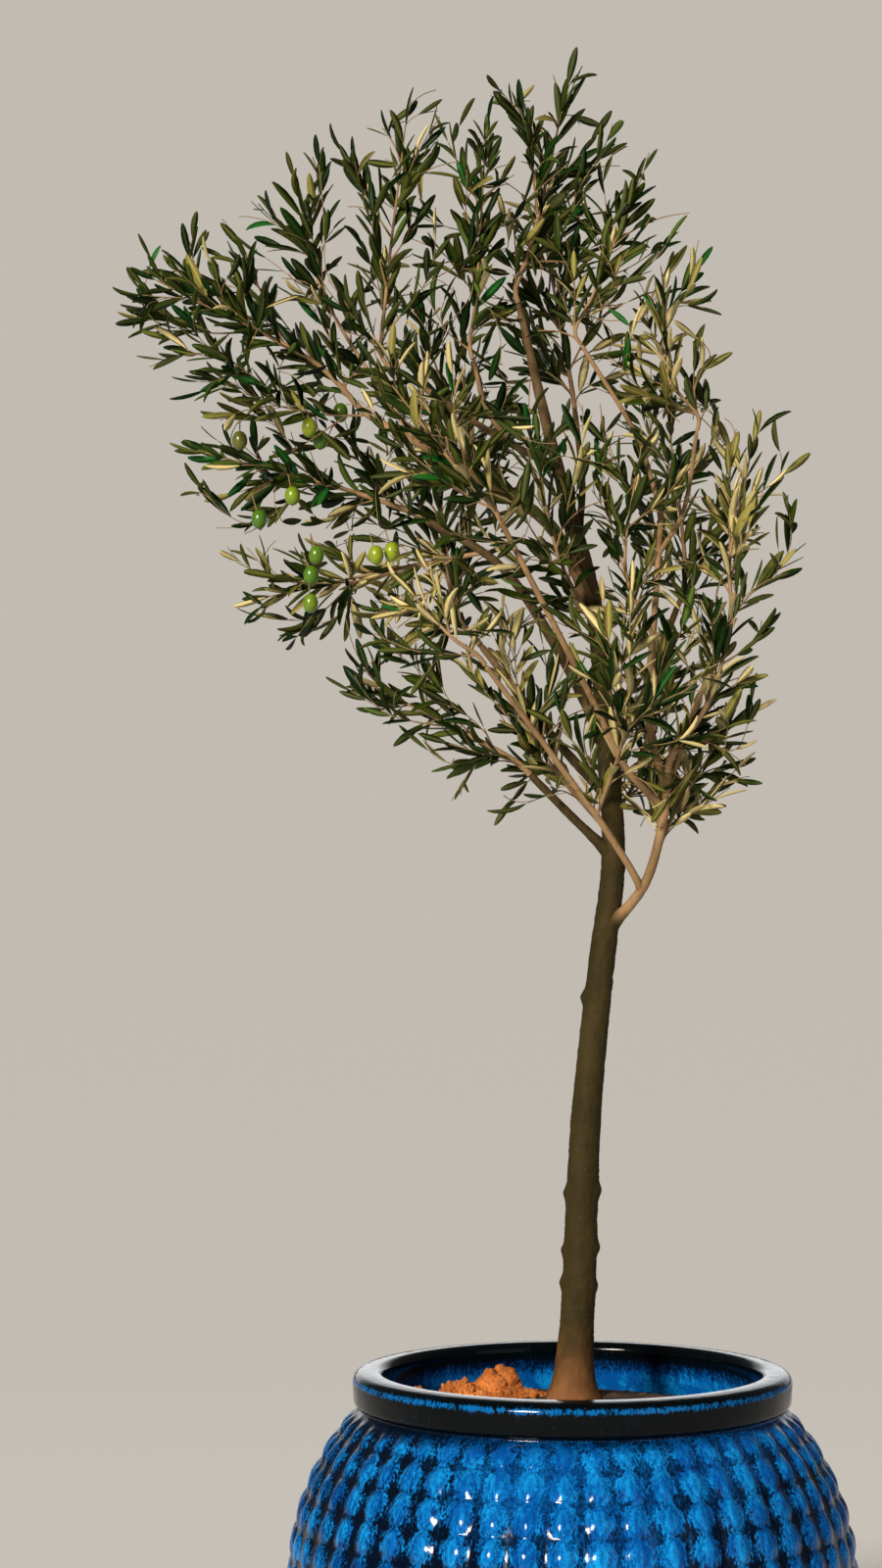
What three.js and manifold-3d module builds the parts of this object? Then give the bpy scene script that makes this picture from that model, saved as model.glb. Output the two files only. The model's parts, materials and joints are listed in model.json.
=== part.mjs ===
// A young olive tree in a round glazed pot, in millimetres. +Z is up, and the origin is the
// middle of the pot's flat underside. The crown leans towards -X, and -Y is the near side.
import * as THREE from "three";
import { mergeVertices } from "three/addons/utils/BufferGeometryUtils.js";
import Module from "manifold-3d";

const wasm = await Module();
wasm.setup();

// The gap that keeps two touching pieces apart
const SEAT = 0.3;

// Details smaller than this are left out of a solid
const FLATNESS = 0.02;

// Pot
const POT_HEIGHT = 540;
const BELLY_RADIUS = 343;
const BELLY_HEIGHT = 285;
const NECK_RADIUS = 257;
const FOOT_RADIUS = 212;
const FOOT_HEIGHT = 12;
const FOOT_BEVEL = 6;
const RIM_RADIUS = 268;
const RIM_HEIGHT = 45;
const RIM_WIDTH = 38;
const RIM_ROUNDING = 8;
const THROAT_RADIUS = 234;
const WALL = 18;
const FLOOR = 22;
const DIMPLE_COLUMNS = 48;
const DIMPLE_ROWS = 13;
const DIMPLE_DEPTH = 5;
const INNER_STEPS = [0.2, 0.45, 0.68, 0.86];
const SOIL_SIDES = 24;

// Soil, and the clods that lie on it
const SOIL_HEIGHT = 507;
const SOIL_EDGE_DROP = 17;
const SOIL_FLAT_RADIUS = 60;
const CLOD_SINKING = 8;
const CLOD_SEED = 90;
const CLOD_SIZES = [0.82, 1.18];
const CLODS = [
  { name: "clod_large", at: [-88, 45], radii: [27, 23, 31] },
  { name: "clod_left", at: [-138, 38], radii: [27, 24, 22] },
  { name: "clod_far_left", at: [-190, 28], radii: [16, 16, 14] },
  { name: "clod_near_trunk", at: [-56, 8], radii: [18, 14, 11] },
];

// Trunk: the points that its centreline passes, and its radii
const TRUNK_LINE = [
  [-1, 0, 480], [0, 0, 507], [8, 0, 640], [17, 0, 850], [37, -2, 1045],
  [50, -6, 1165], [41, 0, 1314], [25, 8, 1482], [-5, 8, 1595], [-29, 0, 1684], [-66, -10, 1840],
];
const TRUNK_SIDES = 8;
const TRUNK_RINGS = 18;
const TRUNK_RADIUS = 22;
const TRUNK_TIP_RADIUS = 3.6;
const TRUNK_TAPER = 0.8;
const FLARE = 12;
const FLARE_HEIGHT = 22;
const KNOB_RADIUS = 7;
const KNOB_PAIRS = [643, 687, 757];
const LONE_KNOB = 994;

const BOUGH_SIDES = 5;
const BOUGH_RINGS = 6;
const LIMB_POINTS = 60;

// Boughs: each leaves its parent's centreline at the height `at`, and passes the points of `line`
const BOUGHS = [
  { name: "right", on: "trunk", at: 1070, radii: [6.6, 5],
    line: [[86, -38, 1132], [108, -60, 1213], [113, -75, 1268]] },
  { name: "tall_right", on: "right", at: 1243, radii: [4.8, 3.4],
    line: [[91, -52, 1330], [99, -40, 1467], [108, -30, 1598]] },
  { name: "tall_front", on: "tall_right", at: 1575, radii: [3.2, 2.5],
    line: [[80, -50, 1665], [8, -78, 1782]] },
  { name: "high_right", on: "tall_right", at: 1530, radii: [3.1, 2.5],
    line: [[132, -52, 1582], [148, -65, 1679]] },
  { name: "far_right", on: "right", at: 1240, radii: [3.8, 2.8],
    line: [[141, -62, 1330], [186, -35, 1444]] },
  { name: "crossing", on: "right", at: 1125, radii: [4.6, 3],
    line: [[44, -72, 1190], [-20, -116, 1278], [-108, -165, 1394]] },
  { name: "long_left", on: "right", at: 1222, radii: [4.6, 3.2],
    line: [[62, -84, 1272], [19, -112, 1357], [-91, -175, 1565]] },
  { name: "low_left", on: "trunk", at: 1160, radii: [6.2, 4.4],
    line: [[0, -30, 1213], [-53, -50, 1266]] },
  { name: "left", on: "trunk", at: 1470, radii: [8, 4.4],
    line: [[-30, -8, 1570], [-124, -8, 1632], [-238, 20, 1699]] },
  { name: "inner_left", on: "trunk", at: 1300, radii: [8, 4.4],
    line: [[-20, 60, 1428], [-90, 112, 1530], [-180, 130, 1585]] },
  { name: "upper_left", on: "trunk", at: 1632, radii: [4.8, 3],
    line: [[-90, -34, 1674], [-217, -65, 1755]] },
  { name: "upper_mid", on: "upper_left", at: 1662, radii: [3.6, 2.8],
    line: [[-102, -14, 1705], [-121, 5, 1773]] },
  { name: "back_left", on: "trunk", at: 1225, radii: [6.6, 4.2],
    line: [[-15, 80, 1305], [-110, 185, 1430]] },
  { name: "back_right", on: "trunk", at: 1270, radii: [6.2, 4],
    line: [[85, 85, 1350], [140, 180, 1480]] },
  { name: "back_high", on: "trunk", at: 1550, radii: [4.8, 3.4],
    line: [[15, 75, 1625], [8, 145, 1725]] },
];

// Foliage: each mass leaves its limb at the tip, or at the height `at`, and keeps to the space
// round its axis. `radii` are that space's, at the near and at the far end of the axis.
const FOLIAGE = [
  { name: "far_left", on: "left", axis: [[-312, 15, 1768], [-462, 0, 1845]], radii: [104, 96] },
  { name: "upper_left", on: "left", at: 1672, axis: [[-306, 40, 1860], [-335, 20, 1975]], radii: [76, 68] },
  { name: "top_left", on: "upper_left", axis: [[-225, -60, 1856], [-206, -60, 2020]], radii: [76, 70] },
  { name: "top_mid", on: "upper_mid", axis: [[-118, -5, 1840], [-108, 0, 2000]], radii: [82, 80] },
  { name: "top_centre", on: "trunk", axis: [[-52, -10, 1905], [-12, -5, 2078]], radii: [76, 76] },
  { name: "top_right", on: "tall_front", axis: [[22, -75, 1840], [66, -60, 1950]], radii: [74, 62] },
  { name: "right_high", on: "high_right", axis: [[112, -68, 1745], [108, -60, 1845]], radii: [70, 60] },
  { name: "centre_right", on: "tall_right", at: 1430,
    axis: [[62, -70, 1510], [80, -55, 1650]], radii: [72, 66] },
  { name: "far_right", on: "far_right", axis: [[190, -30, 1525], [214, -5, 1640]], radii: [60, 54] },
  { name: "right_side", on: "right", axis: [[158, -115, 1350], [190, -105, 1455]], radii: [76, 64] },
  { name: "right_low", on: "right", at: 1172, axis: [[126, -30, 1225], [172, 0, 1295]], radii: [68, 60] },
  { name: "low_centre", on: "trunk", at: 1190,
    axis: [[-35, -50, 1290], [-82, -50, 1400]], radii: [76, 76] },
  { name: "front_low", on: "crossing", at: 1215,
    axis: [[58, -165, 1325], [62, -180, 1445]], radii: [78, 72] },
  { name: "low_left", on: "low_left", axis: [[-125, -65, 1312], [-249, -50, 1375]], radii: [72, 62] },
  { name: "mid_low", on: "crossing", axis: [[-146, -180, 1425], [-195, -150, 1480]], radii: [74, 70] },
  { name: "centre", on: "trunk", at: 1445, axis: [[-20, -80, 1530], [-45, -90, 1640]], radii: [78, 76] },
  { name: "front_left", on: "long_left", axis: [[-130, -190, 1610], [-212, -180, 1715]], radii: [80, 76] },
  { name: "inner_left", on: "left", at: 1632, axis: [[-140, 70, 1690], [-172, 80, 1790]], radii: [80, 76] },
  { name: "left_low", on: "inner_left", axis: [[-285, 135, 1625], [-425, 120, 1660]], radii: [86, 78] },
  { name: "olives", on: "inner_left", at: 1545,
    axis: [[-215, 150, 1525], [-345, 125, 1495]], radii: [84, 80] },
  { name: "back_left", on: "back_left", axis: [[-140, 215, 1470], [-165, 235, 1660]], radii: [92, 84] },
  { name: "back_right", on: "back_right", axis: [[150, 200, 1530], [130, 190, 1700]], radii: [92, 80] },
  { name: "back_high", on: "back_high", axis: [[0, 170, 1785], [-30, 150, 1940]], radii: [92, 78] },
  { name: "back_low", on: "trunk", at: 1205, axis: [[95, 115, 1285], [110, 150, 1390]], radii: [76, 70] },
];

// Olives, by the mass that bears them: where each one hangs, seen from the near side
const OLIVES = {
  left_low: [[-411, 1683], [-313, 1690], [-345, 1614], [-387, 1584]],
  olives: [[-320, 1520], [-239, 1530]],
};
const OLIVE_LENGTH = 24;
const OLIVE_WIDTH = 19;
const OLIVE_STALK = 14;
const OLIVE_TURN = 0.35;
const OLIVE_STALK_RADIUS = 0.9;

// Twigs and leaves
const TWIG_SIDES = 3;
const TWIG_POINTS = 12;
const STEM_SIDES = 4;
const STEM_RINGS = 5;
const STEM_START = 15;
const STEM_BARE = 0.5;
const STEM_RADIUS = 3.2;
const TIP_RADIUS = 1.4;
const SHOOT_RADIUS = 1.9;
const SHOOT_SHARE = 0.6;
const SHOOT_BARE = 8;
const SHOOT_STEP = 6;
const SHOOT_ROOM = 4;
const BENT_SHOOT = 90;
const SHOOT_SPACING = 40;
const SHOOT_ANGLE = 0.8;
const SHOOT_TURNS = [0, 0.6];
const SHOOT_SIZES = [0.8, 1];
const SHORTEST_SHOOT = 18;
const LONGEST_SHOOT = 200;
const UPTURN = 0.0012;
const LEAF_SPACING = 26;
const LEAF_ANGLE = 0.75;
const LEAF_ANGLES = [0.75, 1.25];
const LEAF_LENGTH = 92;
const LEAF_LENGTHS = [0.8, 1.1];
const LEAF_WIDTH = 25;
const LEAF_THICKNESS = 2.6;
const LEAF_WIDEST = 0.45;
const LEAF_TWISTS = [-1.3, 1.3];
const LEAF_DROOP = 0.1;
const LEAF_ROOM = 9;
const LEAF_CLEARANCE = 1.5;
const LEAF_SAMPLES = [1, 0.8, 0.6, 0.4];
const END_LEAF_ROOM = 0.9;
const LAST_LEAF = 0.995;
const LEAF_OVERHANG = 40;
const GOLDEN_ANGLE = Math.PI * (3 - Math.sqrt(5));
const OFF_AXIS = new THREE.Vector3(0.3, 1, 0.2);
const SPACE_MARGIN = 3;
const FIRST_SEED = 11;
const SEED_STEP = 19;

const GLAZE = new THREE.MeshStandardMaterial({ color: 0x0d3f9a, roughness: 0.12, metalness: 0 });
const BARK = new THREE.MeshStandardMaterial({ color: 0x6b5138, roughness: 0.8, metalness: 0 });
const YOUNG_BARK = new THREE.MeshStandardMaterial({ color: 0xa97f5c, roughness: 0.7, metalness: 0 });
const LEAF = new THREE.MeshStandardMaterial({ color: 0x56603a, roughness: 0.55, metalness: 0 });
const EARTH = new THREE.MeshStandardMaterial({ color: 0x4a3021, roughness: 0.95, metalness: 0 });
const CLAY = new THREE.MeshStandardMaterial({ color: 0xb05a28, roughness: 0.95, metalness: 0 });

const vector = ([x, y, z]) => new THREE.Vector3(x, y, z);

// A repeatable source of numbers from 0 to 1
function seeded(seed) {
  let state = seed >>> 0;
  return () => {
    state = (Math.imul(state, 1664525) + 1013904223) >>> 0;
    return state / 2 ** 32;
  };
}

const between = ([low, high], random) => low + (high - low) * random();

// A closed three.js geometry as a solid that can be joined and cut
function solidOf(geometry) {
  const bare = new THREE.BufferGeometry();
  bare.setAttribute("position", geometry.getAttribute("position"));
  bare.setIndex(geometry.getIndex());
  const merged = mergeVertices(bare, 1e-4);
  return new wasm.Manifold(
    new wasm.Mesh({
      numProp: 3,
      vertProperties: merged.getAttribute("position").array,
      triVerts: new Uint32Array(merged.getIndex().array),
    }),
  );
}

// The largest body of a solid, as a named mesh. Points that its cuts left too near to one
// another are merged.
function meshOf(name, solid, material) {
  const bodies = solid.simplify(FLATNESS).decompose();
  bodies.sort((a, b) => b.volume() - a.volume());
  const made = bodies[0].getMesh();
  const geometry = new THREE.BufferGeometry();
  geometry.setAttribute("position", new THREE.BufferAttribute(made.vertProperties, 3));
  geometry.setIndex(new THREE.BufferAttribute(made.triVerts, 1));
  geometry.computeVertexNormals();
  const mesh = new THREE.Mesh(geometry, material);
  mesh.name = name;
  return mesh;
}

// A tapering tube: a cylinder whose rings are set across a curve
function tube(curve, radiusAt, sides, rings) {
  const geometry = new THREE.CylinderGeometry(1, 1, 1, sides, rings);
  const frames = curve.computeFrenetFrames(rings, false);
  const position = geometry.getAttribute("position");
  for (let i = 0; i < position.count; i++) {
    const share = position.getY(i) + 0.5;
    const ring = Math.round(share * rings);
    const radius = radiusAt(share);
    const across = frames.normals[ring];
    const aside = new THREE.Vector3().crossVectors(across, frames.tangents[ring]);
    const point = curve.getPointAt(share);
    point.addScaledVector(across, position.getX(i) * radius);
    point.addScaledVector(aside, position.getZ(i) * radius);
    position.setXYZ(i, point.x, point.y, point.z);
  }
  return geometry;
}

// The point of a limb's centreline at a height
function pointAtHeight(limb, height) {
  const miss = (point) => Math.abs(point.z - height);
  return limb.points.reduce((best, point) => (miss(point) < miss(best) ? point : best));
}

// Pot

// The body is part of one ellipse below the belly, and of another above it
const rimBottom = POT_HEIGHT - RIM_HEIGHT;
const neckAngle = Math.acos(NECK_RADIUS / BELLY_RADIUS);
const footAngle = -Math.acos(FOOT_RADIUS / BELLY_RADIUS);
const upperRise = (rimBottom - BELLY_HEIGHT) / Math.sin(neckAngle);
const lowerRise = (BELLY_HEIGHT - FOOT_HEIGHT) / Math.sin(-footAngle);

// The body's outer radius and height, at a share of the way from the foot to the neck
function bodyPoint(share) {
  const angle = footAngle + share * (neckAngle - footAngle);
  const rise = angle > 0 ? upperRise : lowerRise;
  return [BELLY_RADIUS * Math.cos(angle), BELLY_HEIGHT + rise * Math.sin(angle)];
}

function lathe(profile, segments) {
  const points = profile.map(([radius, height]) => new THREE.Vector2(radius, height));
  return new THREE.LatheGeometry(points, segments).rotateX(Math.PI / 2);
}

// The inside of the wall from its floor up to its mouth, kept `gap` clear
function innerProfile(gap) {
  const profile = [[FOOT_RADIUS - WALL - gap, FLOOR + gap]];
  for (const share of INNER_STEPS) {
    const [radius, height] = bodyPoint(share);
    profile.push([radius - WALL - gap, height]);
  }
  profile.push([THROAT_RADIUS - gap, rimBottom]);
  return profile;
}

// The body's grid of dimples: each cell of the lathe is sunk in the middle
function dimpled(geometry, rings, firstRow) {
  const position = geometry.getAttribute("position");
  const points = Array.from(position.array);
  const faces = [];
  const index = geometry.getIndex().array;
  for (let i = 0; i < index.length; i += 6) {
    const row = (i / 6) % (rings - 1);
    const [a, b, d, c] = [index[i], index[i + 1], index[i + 2], index[i + 3]];
    if (row < firstRow || row >= firstRow + DIMPLE_ROWS) {
      faces.push(a, b, d, c, d, b);
      continue;
    }
    const middle = new THREE.Vector3();
    for (const corner of [a, b, c, d]) {
      middle.add(new THREE.Vector3().fromBufferAttribute(position, corner).divideScalar(4));
    }
    const outwards = new THREE.Vector3(middle.x, middle.y, 0).normalize();
    middle.addScaledVector(outwards, -DIMPLE_DEPTH);
    const low = points.length / 3;
    points.push(...middle.toArray());
    faces.push(a, b, low, b, c, low, c, d, low, d, a, low);
  }
  const made = new THREE.BufferGeometry();
  made.setAttribute("position", new THREE.Float32BufferAttribute(points, 3));
  made.setIndex(faces);
  return made;
}

function pot() {
  const inner = RIM_RADIUS - RIM_WIDTH;
  const below = [[0, 0], [FOOT_RADIUS - FOOT_BEVEL, 0], [FOOT_RADIUS, FOOT_HEIGHT / 2]];
  const body = [];
  for (let i = 0; i <= DIMPLE_ROWS; i++) body.push(bodyPoint(i / DIMPLE_ROWS));
  const above = [
    [RIM_RADIUS - RIM_ROUNDING, rimBottom + 2],
    [RIM_RADIUS, POT_HEIGHT - 2 * RIM_ROUNDING],
    [RIM_RADIUS - RIM_ROUNDING, POT_HEIGHT - 1],
    [inner + RIM_ROUNDING, POT_HEIGHT],
    [inner, POT_HEIGHT - RIM_ROUNDING],
  ];
  const profile = [...below, ...body, ...above, ...innerProfile(0).reverse(), [0, FLOOR]];
  return solidOf(dimpled(lathe(profile, DIMPLE_COLUMNS), profile.length, below.length));
}

// Soil fills the pot. `lift` raises its top, to cut what stands on it.
function soil(lift = 0) {
  const wall = innerProfile(SEAT + 0.1);
  const [edge] = wall.pop();
  const profile = [
    [0, wall[0][1]],
    ...wall,
    [edge, SOIL_HEIGHT - SOIL_EDGE_DROP + lift],
    [SOIL_FLAT_RADIUS, SOIL_HEIGHT + lift],
    [0, SOIL_HEIGHT + lift],
  ];
  return solidOf(lathe(profile, SOIL_SIDES));
}

// A crumbly lump: an icosahedron whose corners are moved in and out
function clod({ name, at: [x, y], radii }, index) {
  const random = seeded(CLOD_SEED + index);
  const plain = new THREE.IcosahedronGeometry(1, 1).deleteAttribute("normal").deleteAttribute("uv");
  const geometry = mergeVertices(plain);
  const position = geometry.getAttribute("position");
  for (let i = 0; i < position.count; i++) {
    const size = between(CLOD_SIZES, random);
    position.setXYZ(i, position.getX(i) * size, position.getY(i) * size, position.getZ(i) * size);
  }
  geometry.scale(...radii).translate(x, y, SOIL_HEIGHT - CLOD_SINKING);
  return meshOf(name, solidOf(geometry).subtract(soil(SEAT)), CLAY);
}

// Trunk and boughs

function limb(name, line, radiusAt, sides, rings) {
  const curve = new THREE.CatmullRomCurve3(line, false, "centripetal");
  const points = curve.getSpacedPoints(LIMB_POINTS);
  const shape = (grow) => solidOf(tube(curve, (t) => radiusAt(t) + grow, sides, rings));
  return { name, curve, points, radiusAt, shape };
}

// The trunk's radius at a share of its line, which starts a little under the soil
function trunkRadius(share) {
  const bottom = TRUNK_LINE[0][2];
  const top = TRUNK_LINE.at(-1)[2];
  const above = Math.max(0, bottom + share * (top - bottom) - SOIL_HEIGHT);
  const taper = (1 - above / (top - SOIL_HEIGHT)) ** TRUNK_TAPER;
  const flare = FLARE * Math.exp(-above / FLARE_HEIGHT);
  return TRUNK_TIP_RADIUS + (TRUNK_RADIUS - TRUNK_TIP_RADIUS) * taper + flare;
}

const trunk = limb("trunk", TRUNK_LINE.map(vector), trunkRadius, TRUNK_SIDES, TRUNK_RINGS);
const limbs = new Map([["trunk", trunk]]);
for (const { name, on, at, line, radii } of BOUGHS) {
  const start = pointAtHeight(limbs.get(on), at);
  const [thick, thin] = radii;
  const radiusAt = (t) => thick + (thin - thick) * t;
  limbs.set(name, limb(`bough_${name}`, [start, ...line.map(vector)], radiusAt, BOUGH_SIDES, BOUGH_RINGS));
}

// The scars of pruned twigs stand in pairs on the trunk's sides
function knobs() {
  const places = KNOB_PAIRS.flatMap((height) => [[height, 1], [height, -1]]);
  places.push([LONE_KNOB, -1]);
  return places.map(([height, side]) => {
    const centre = pointAtHeight(trunk, height);
    const share = trunk.points.indexOf(centre) / (trunk.points.length - 1);
    const knob = new THREE.OctahedronGeometry(KNOB_RADIUS).scale(0.8, 1, 1.2);
    return solidOf(knob.translate(centre.x + side * (trunkRadius(share) - 1), centre.y, centre.z));
  });
}

// A limb is cut clear of what it grows from and of every limb made before it
function limbMeshes() {
  const made = [];
  for (const current of limbs.values()) {
    let shape = current.shape(0);
    if (current === trunk) shape = wasm.Manifold.union([shape, ...knobs()]).subtract(soil(SEAT));
    for (const other of made) shape = shape.subtract(other.grown);
    made.push({ shape, grown: current.shape(SEAT), name: current.name });
  }
  return made.map(({ name, shape }) => meshOf(name, shape, name === "trunk" ? BARK : YOUNG_BARK));
}

// Foliage

// How far a point lies outside a mass's space, negative inside
function outside(mass, point) {
  const [near, far] = mass.ends;
  const along = new THREE.Vector3().subVectors(far, near);
  const share = THREE.MathUtils.clamp(point.clone().sub(near).dot(along) / along.lengthSq(), 0, 1);
  const centre = near.clone().addScaledVector(along, share);
  return point.distanceTo(centre) - THREE.MathUtils.lerp(...mass.radii, share);
}

const masses = FOLIAGE.map((mass) => ({ ...mass, ends: mass.axis.map(vector) }));

// Whether a point lies in a mass's space, or up to `overhang` outside, and in no other's
function inOwnSpace(mass, point, overhang = 0) {
  const own = outside(mass, point);
  const others = masses.filter((other) => other !== mass);
  return own < overhang && others.every((other) => outside(other, point) > own + SPACE_MARGIN);
}

function clearOfLimbs(point, room) {
  for (const { points, radiusAt } of limbs.values()) {
    for (let i = 0; i < points.length; i++) {
      if (points[i].distanceTo(point) < radiusAt(i / (points.length - 1)) + room) return false;
    }
  }
  return true;
}

// A leaf: a lathed spindle of three sides, drawn out flat, with a ridge above
const spindle = lathe([[0, 0], [1, LEAF_WIDEST], [0, 1]], 3);

function leaf(root, direction, face, length) {
  const side = new THREE.Vector3().crossVectors(direction, face).normalize();
  const up = new THREE.Vector3().crossVectors(side, direction);
  const geometry = spindle.clone();
  const position = geometry.getAttribute("position");
  const half = (LEAF_WIDTH * length) / LEAF_LENGTH / 2;
  const place = (across, share, above) =>
    root
      .clone()
      .addScaledVector(direction, share * length)
      .addScaledVector(side, across)
      .addScaledVector(up, above - LEAF_DROOP * length * share ** 2);
  for (let i = 0; i < position.count; i++) {
    const [x, y, z] = [position.getX(i), position.getY(i), position.getZ(i)];
    position.setXYZ(i, ...place(x * half, z, (-y * LEAF_THICKNESS) / 2).toArray());
  }
  const samples = LEAF_SAMPLES.map((share) => place(0, share, 0));
  return { geometry, samples, half };
}

// A direction across a twig, turned round it
function acrossOf(tangent, turn) {
  return new THREE.Vector3().crossVectors(tangent, OFF_AXIS).normalize().applyAxisAngle(tangent, turn);
}

// Whether a leaf keeps to its space, and clear of every limb, other twig and earlier leaf
function isFree(mass, samples, half, twig, twigs, taken) {
  const others = twigs.filter((other) => other !== twig).flatMap((other) => other.points);
  return samples.every(
    (p) =>
      inOwnSpace(mass, p, LEAF_OVERHANG) &&
      clearOfLimbs(p, half + LEAF_CLEARANCE) &&
      [...taken, ...others].every((other) => other.distanceTo(p) > LEAF_ROOM),
  );
}

// Leaves stand in pairs along a twig, each pair turned a quarter from the one above, and a
// last leaf ends it. One that isn't free is left out.
function leavesAlong(mass, twig, twigs, taken, random) {
  const made = [];
  const length = twig.curve.getLength();
  const pairs = Math.floor((length - twig.bare) / LEAF_SPACING);
  let turn = random() * Math.PI;
  for (let i = 0; i <= pairs; i++) {
    const share = Math.min(LAST_LEAF, 1 - (i * LEAF_SPACING) / length);
    const point = twig.curve.getPointAt(share);
    const tangent = twig.curve.getTangentAt(share);
    const across = acrossOf(tangent, turn);
    for (const side of i === 0 ? [0] : [1, -1]) {
      const angle = LEAF_ANGLE * between(LEAF_ANGLES, random);
      const direction = tangent.clone().multiplyScalar(side ? Math.cos(angle) : 1);
      direction.addScaledVector(across, side * Math.sin(angle)).normalize();
      const size = LEAF_LENGTH * between(LEAF_LENGTHS, random);
      const face = side ? tangent.clone() : new THREE.Vector3().crossVectors(across, tangent);
      face.applyAxisAngle(direction, between(LEAF_TWISTS, random));
      const { geometry, samples, half } = leaf(point, direction, face, size);
      if (!isFree(mass, samples, half, twig, twigs, taken)) continue;
      taken.push(...samples);
      made.push(solidOf(geometry));
    }
    turn += Math.PI / 2;
  }
  return made;
}

// A twig tapers along its curve, and carries no leaves on its first `bare` millimetres
function twigOf(curve, thick, sides, rings, bare) {
  const taper = (t) => thick + (Math.min(thick, TIP_RADIUS) - thick) * t;
  const shape = solidOf(tube(curve, taper, sides, rings)).simplify(FLATNESS);
  return { curve, bare, thick, points: curve.getSpacedPoints(TWIG_POINTS), shape };
}

// The stem runs from its limb's tip, or from the limb's middle, to the far end of the space
function stemOf(mass) {
  const parent = limbs.get(mass.on);
  const [near, far] = mass.ends;
  const tip = parent.curve.getPointAt(1);
  const heading = parent.curve.getTangentAt(1);
  const start = mass.at ? pointAtHeight(parent, mass.at) : tip.addScaledVector(heading, SEAT);
  const straight = mass.at ? [] : [start.clone().addScaledVector(heading, STEM_START)];
  const curve = new THREE.CatmullRomCurve3([start, ...straight, near, far], false, "centripetal");
  const thick = mass.at ? STEM_RADIUS : Math.min(STEM_RADIUS, parent.radiusAt(1));
  return twigOf(curve, thick, STEM_SIDES, STEM_RINGS, STEM_BARE * start.distanceTo(near));
}

// The way of the side shoot at a place on the stem
function shootWay(stem, share, turn) {
  const tangent = stem.curve.getTangentAt(share);
  const across = acrossOf(tangent, turn);
  const direction = tangent.multiplyScalar(Math.cos(SHOOT_ANGLE));
  direction.addScaledVector(across, Math.sin(SHOOT_ANGLE));
  const start = stem.curve.getPointAt(share);
  return (far) => {
    const point = start.clone().addScaledVector(direction, far);
    point.z += UPTURN * far * far;
    return point;
  };
}

// How far a shoot can grow in its space and still leave room for a leaf at the end
function shootReach(mass, way) {
  let reach = 0;
  while (reach < LONGEST_SHOOT) {
    const next = way(reach + SHOOT_STEP);
    const beyond = way(reach + SHOOT_STEP + END_LEAF_ROOM * LEAF_LENGTH);
    if (!inOwnSpace(mass, next) || !inOwnSpace(mass, beyond, LEAF_OVERHANG)) break;
    if (!clearOfLimbs(next, SHOOT_ROOM)) break;
    reach += SHOOT_STEP;
  }
  return reach;
}

// Side shoots leave the stem at even steps, each turned by the golden angle from the one
// below, and bend up a little
function shootsOf(mass, stem, random) {
  const shoots = [];
  const count = Math.floor(stem.curve.getLength() / SHOOT_SPACING);
  for (let i = 0; i < count; i++) {
    const share = (i + 0.5) / count;
    const way = shootWay(stem, share, i * GOLDEN_ANGLE + between(SHOOT_TURNS, random));
    const size = between(SHOOT_SIZES, random);
    const reach = shootReach(mass, way);
    if (reach < SHORTEST_SHOOT) continue;
    const curve = new THREE.QuadraticBezierCurve3(way(0), way((reach * size) / 2), way(reach * size));
    const stemRadius = stem.thick + (TIP_RADIUS - stem.thick) * share;
    const thick = Math.min(SHOOT_RADIUS, SHOOT_SHARE * stemRadius);
    shoots.push(twigOf(curve, thick, TWIG_SIDES, reach > BENT_SHOOT ? 2 : 1, SHOOT_BARE));
  }
  return shoots;
}

// An olive hangs on a short stalk from the twig that passes nearest above its place
function olive(twigs, x, z, taken) {
  const spots = twigs.flatMap((twig) => twig.points.slice(1, -1));
  const drop = OLIVE_STALK + OLIVE_LENGTH / 2;
  const miss = (p) => Math.hypot(p.x - x, p.z - z - drop);
  const top = spots.reduce((best, p) => (miss(p) < miss(best) ? p : best));
  const middle = new THREE.Vector3(top.x, top.y, top.z - drop);
  const fruit = new THREE.SphereGeometry(1, 6, 4).rotateY(OLIVE_TURN).rotateX(Math.PI / 2);
  fruit.scale(OLIVE_WIDTH / 2, OLIVE_WIDTH / 2, OLIVE_LENGTH / 2).translate(...middle.toArray());
  taken.push(top.clone().lerp(middle, 0.5), middle, middle.clone().lerp(top, -0.5));
  const stalk = tube(new THREE.LineCurve3(top, middle), () => OLIVE_STALK_RADIUS, TWIG_SIDES, 1);
  return [solidOf(fruit), solidOf(stalk)];
}

function foliage(mass, index) {
  const random = seeded(FIRST_SEED + SEED_STEP * index);
  const stem = stemOf(mass);
  const twigs = [stem, ...shootsOf(mass, stem, random)];
  const taken = [];
  const fruit = (OLIVES[mass.name] ?? []).flatMap(([x, z]) => olive(twigs, x, z, taken));
  const leaves = twigs.flatMap((twig) => leavesAlong(mass, twig, twigs, taken, random));
  let shape = wasm.Manifold.union([...twigs.map((twig) => twig.shape), ...fruit, ...leaves]);
  if (mass.at) shape = shape.subtract(limbs.get(mass.on).shape(SEAT));
  return meshOf(`foliage_${mass.name}`, shape, LEAF);
}

const tree = new THREE.Group();
tree.add(meshOf("pot", pot(), GLAZE));
tree.add(meshOf("soil", soil(), EARTH));
CLODS.forEach((lump, index) => tree.add(clod(lump, index)));
limbMeshes().forEach((mesh) => tree.add(mesh));
masses.forEach((mass, index) => tree.add(foliage(mass, index)));

export default tree;
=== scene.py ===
"""A young olive tree in a round glazed pot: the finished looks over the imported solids."""

import bisect
import functools
import json
import math
import random
from collections import namedtuple

import bmesh
import bpy
import numpy as np
from bpy.props import FloatProperty, FloatVectorProperty, IntProperty, PointerProperty
from mathutils import Matrix, Vector, noise

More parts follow.
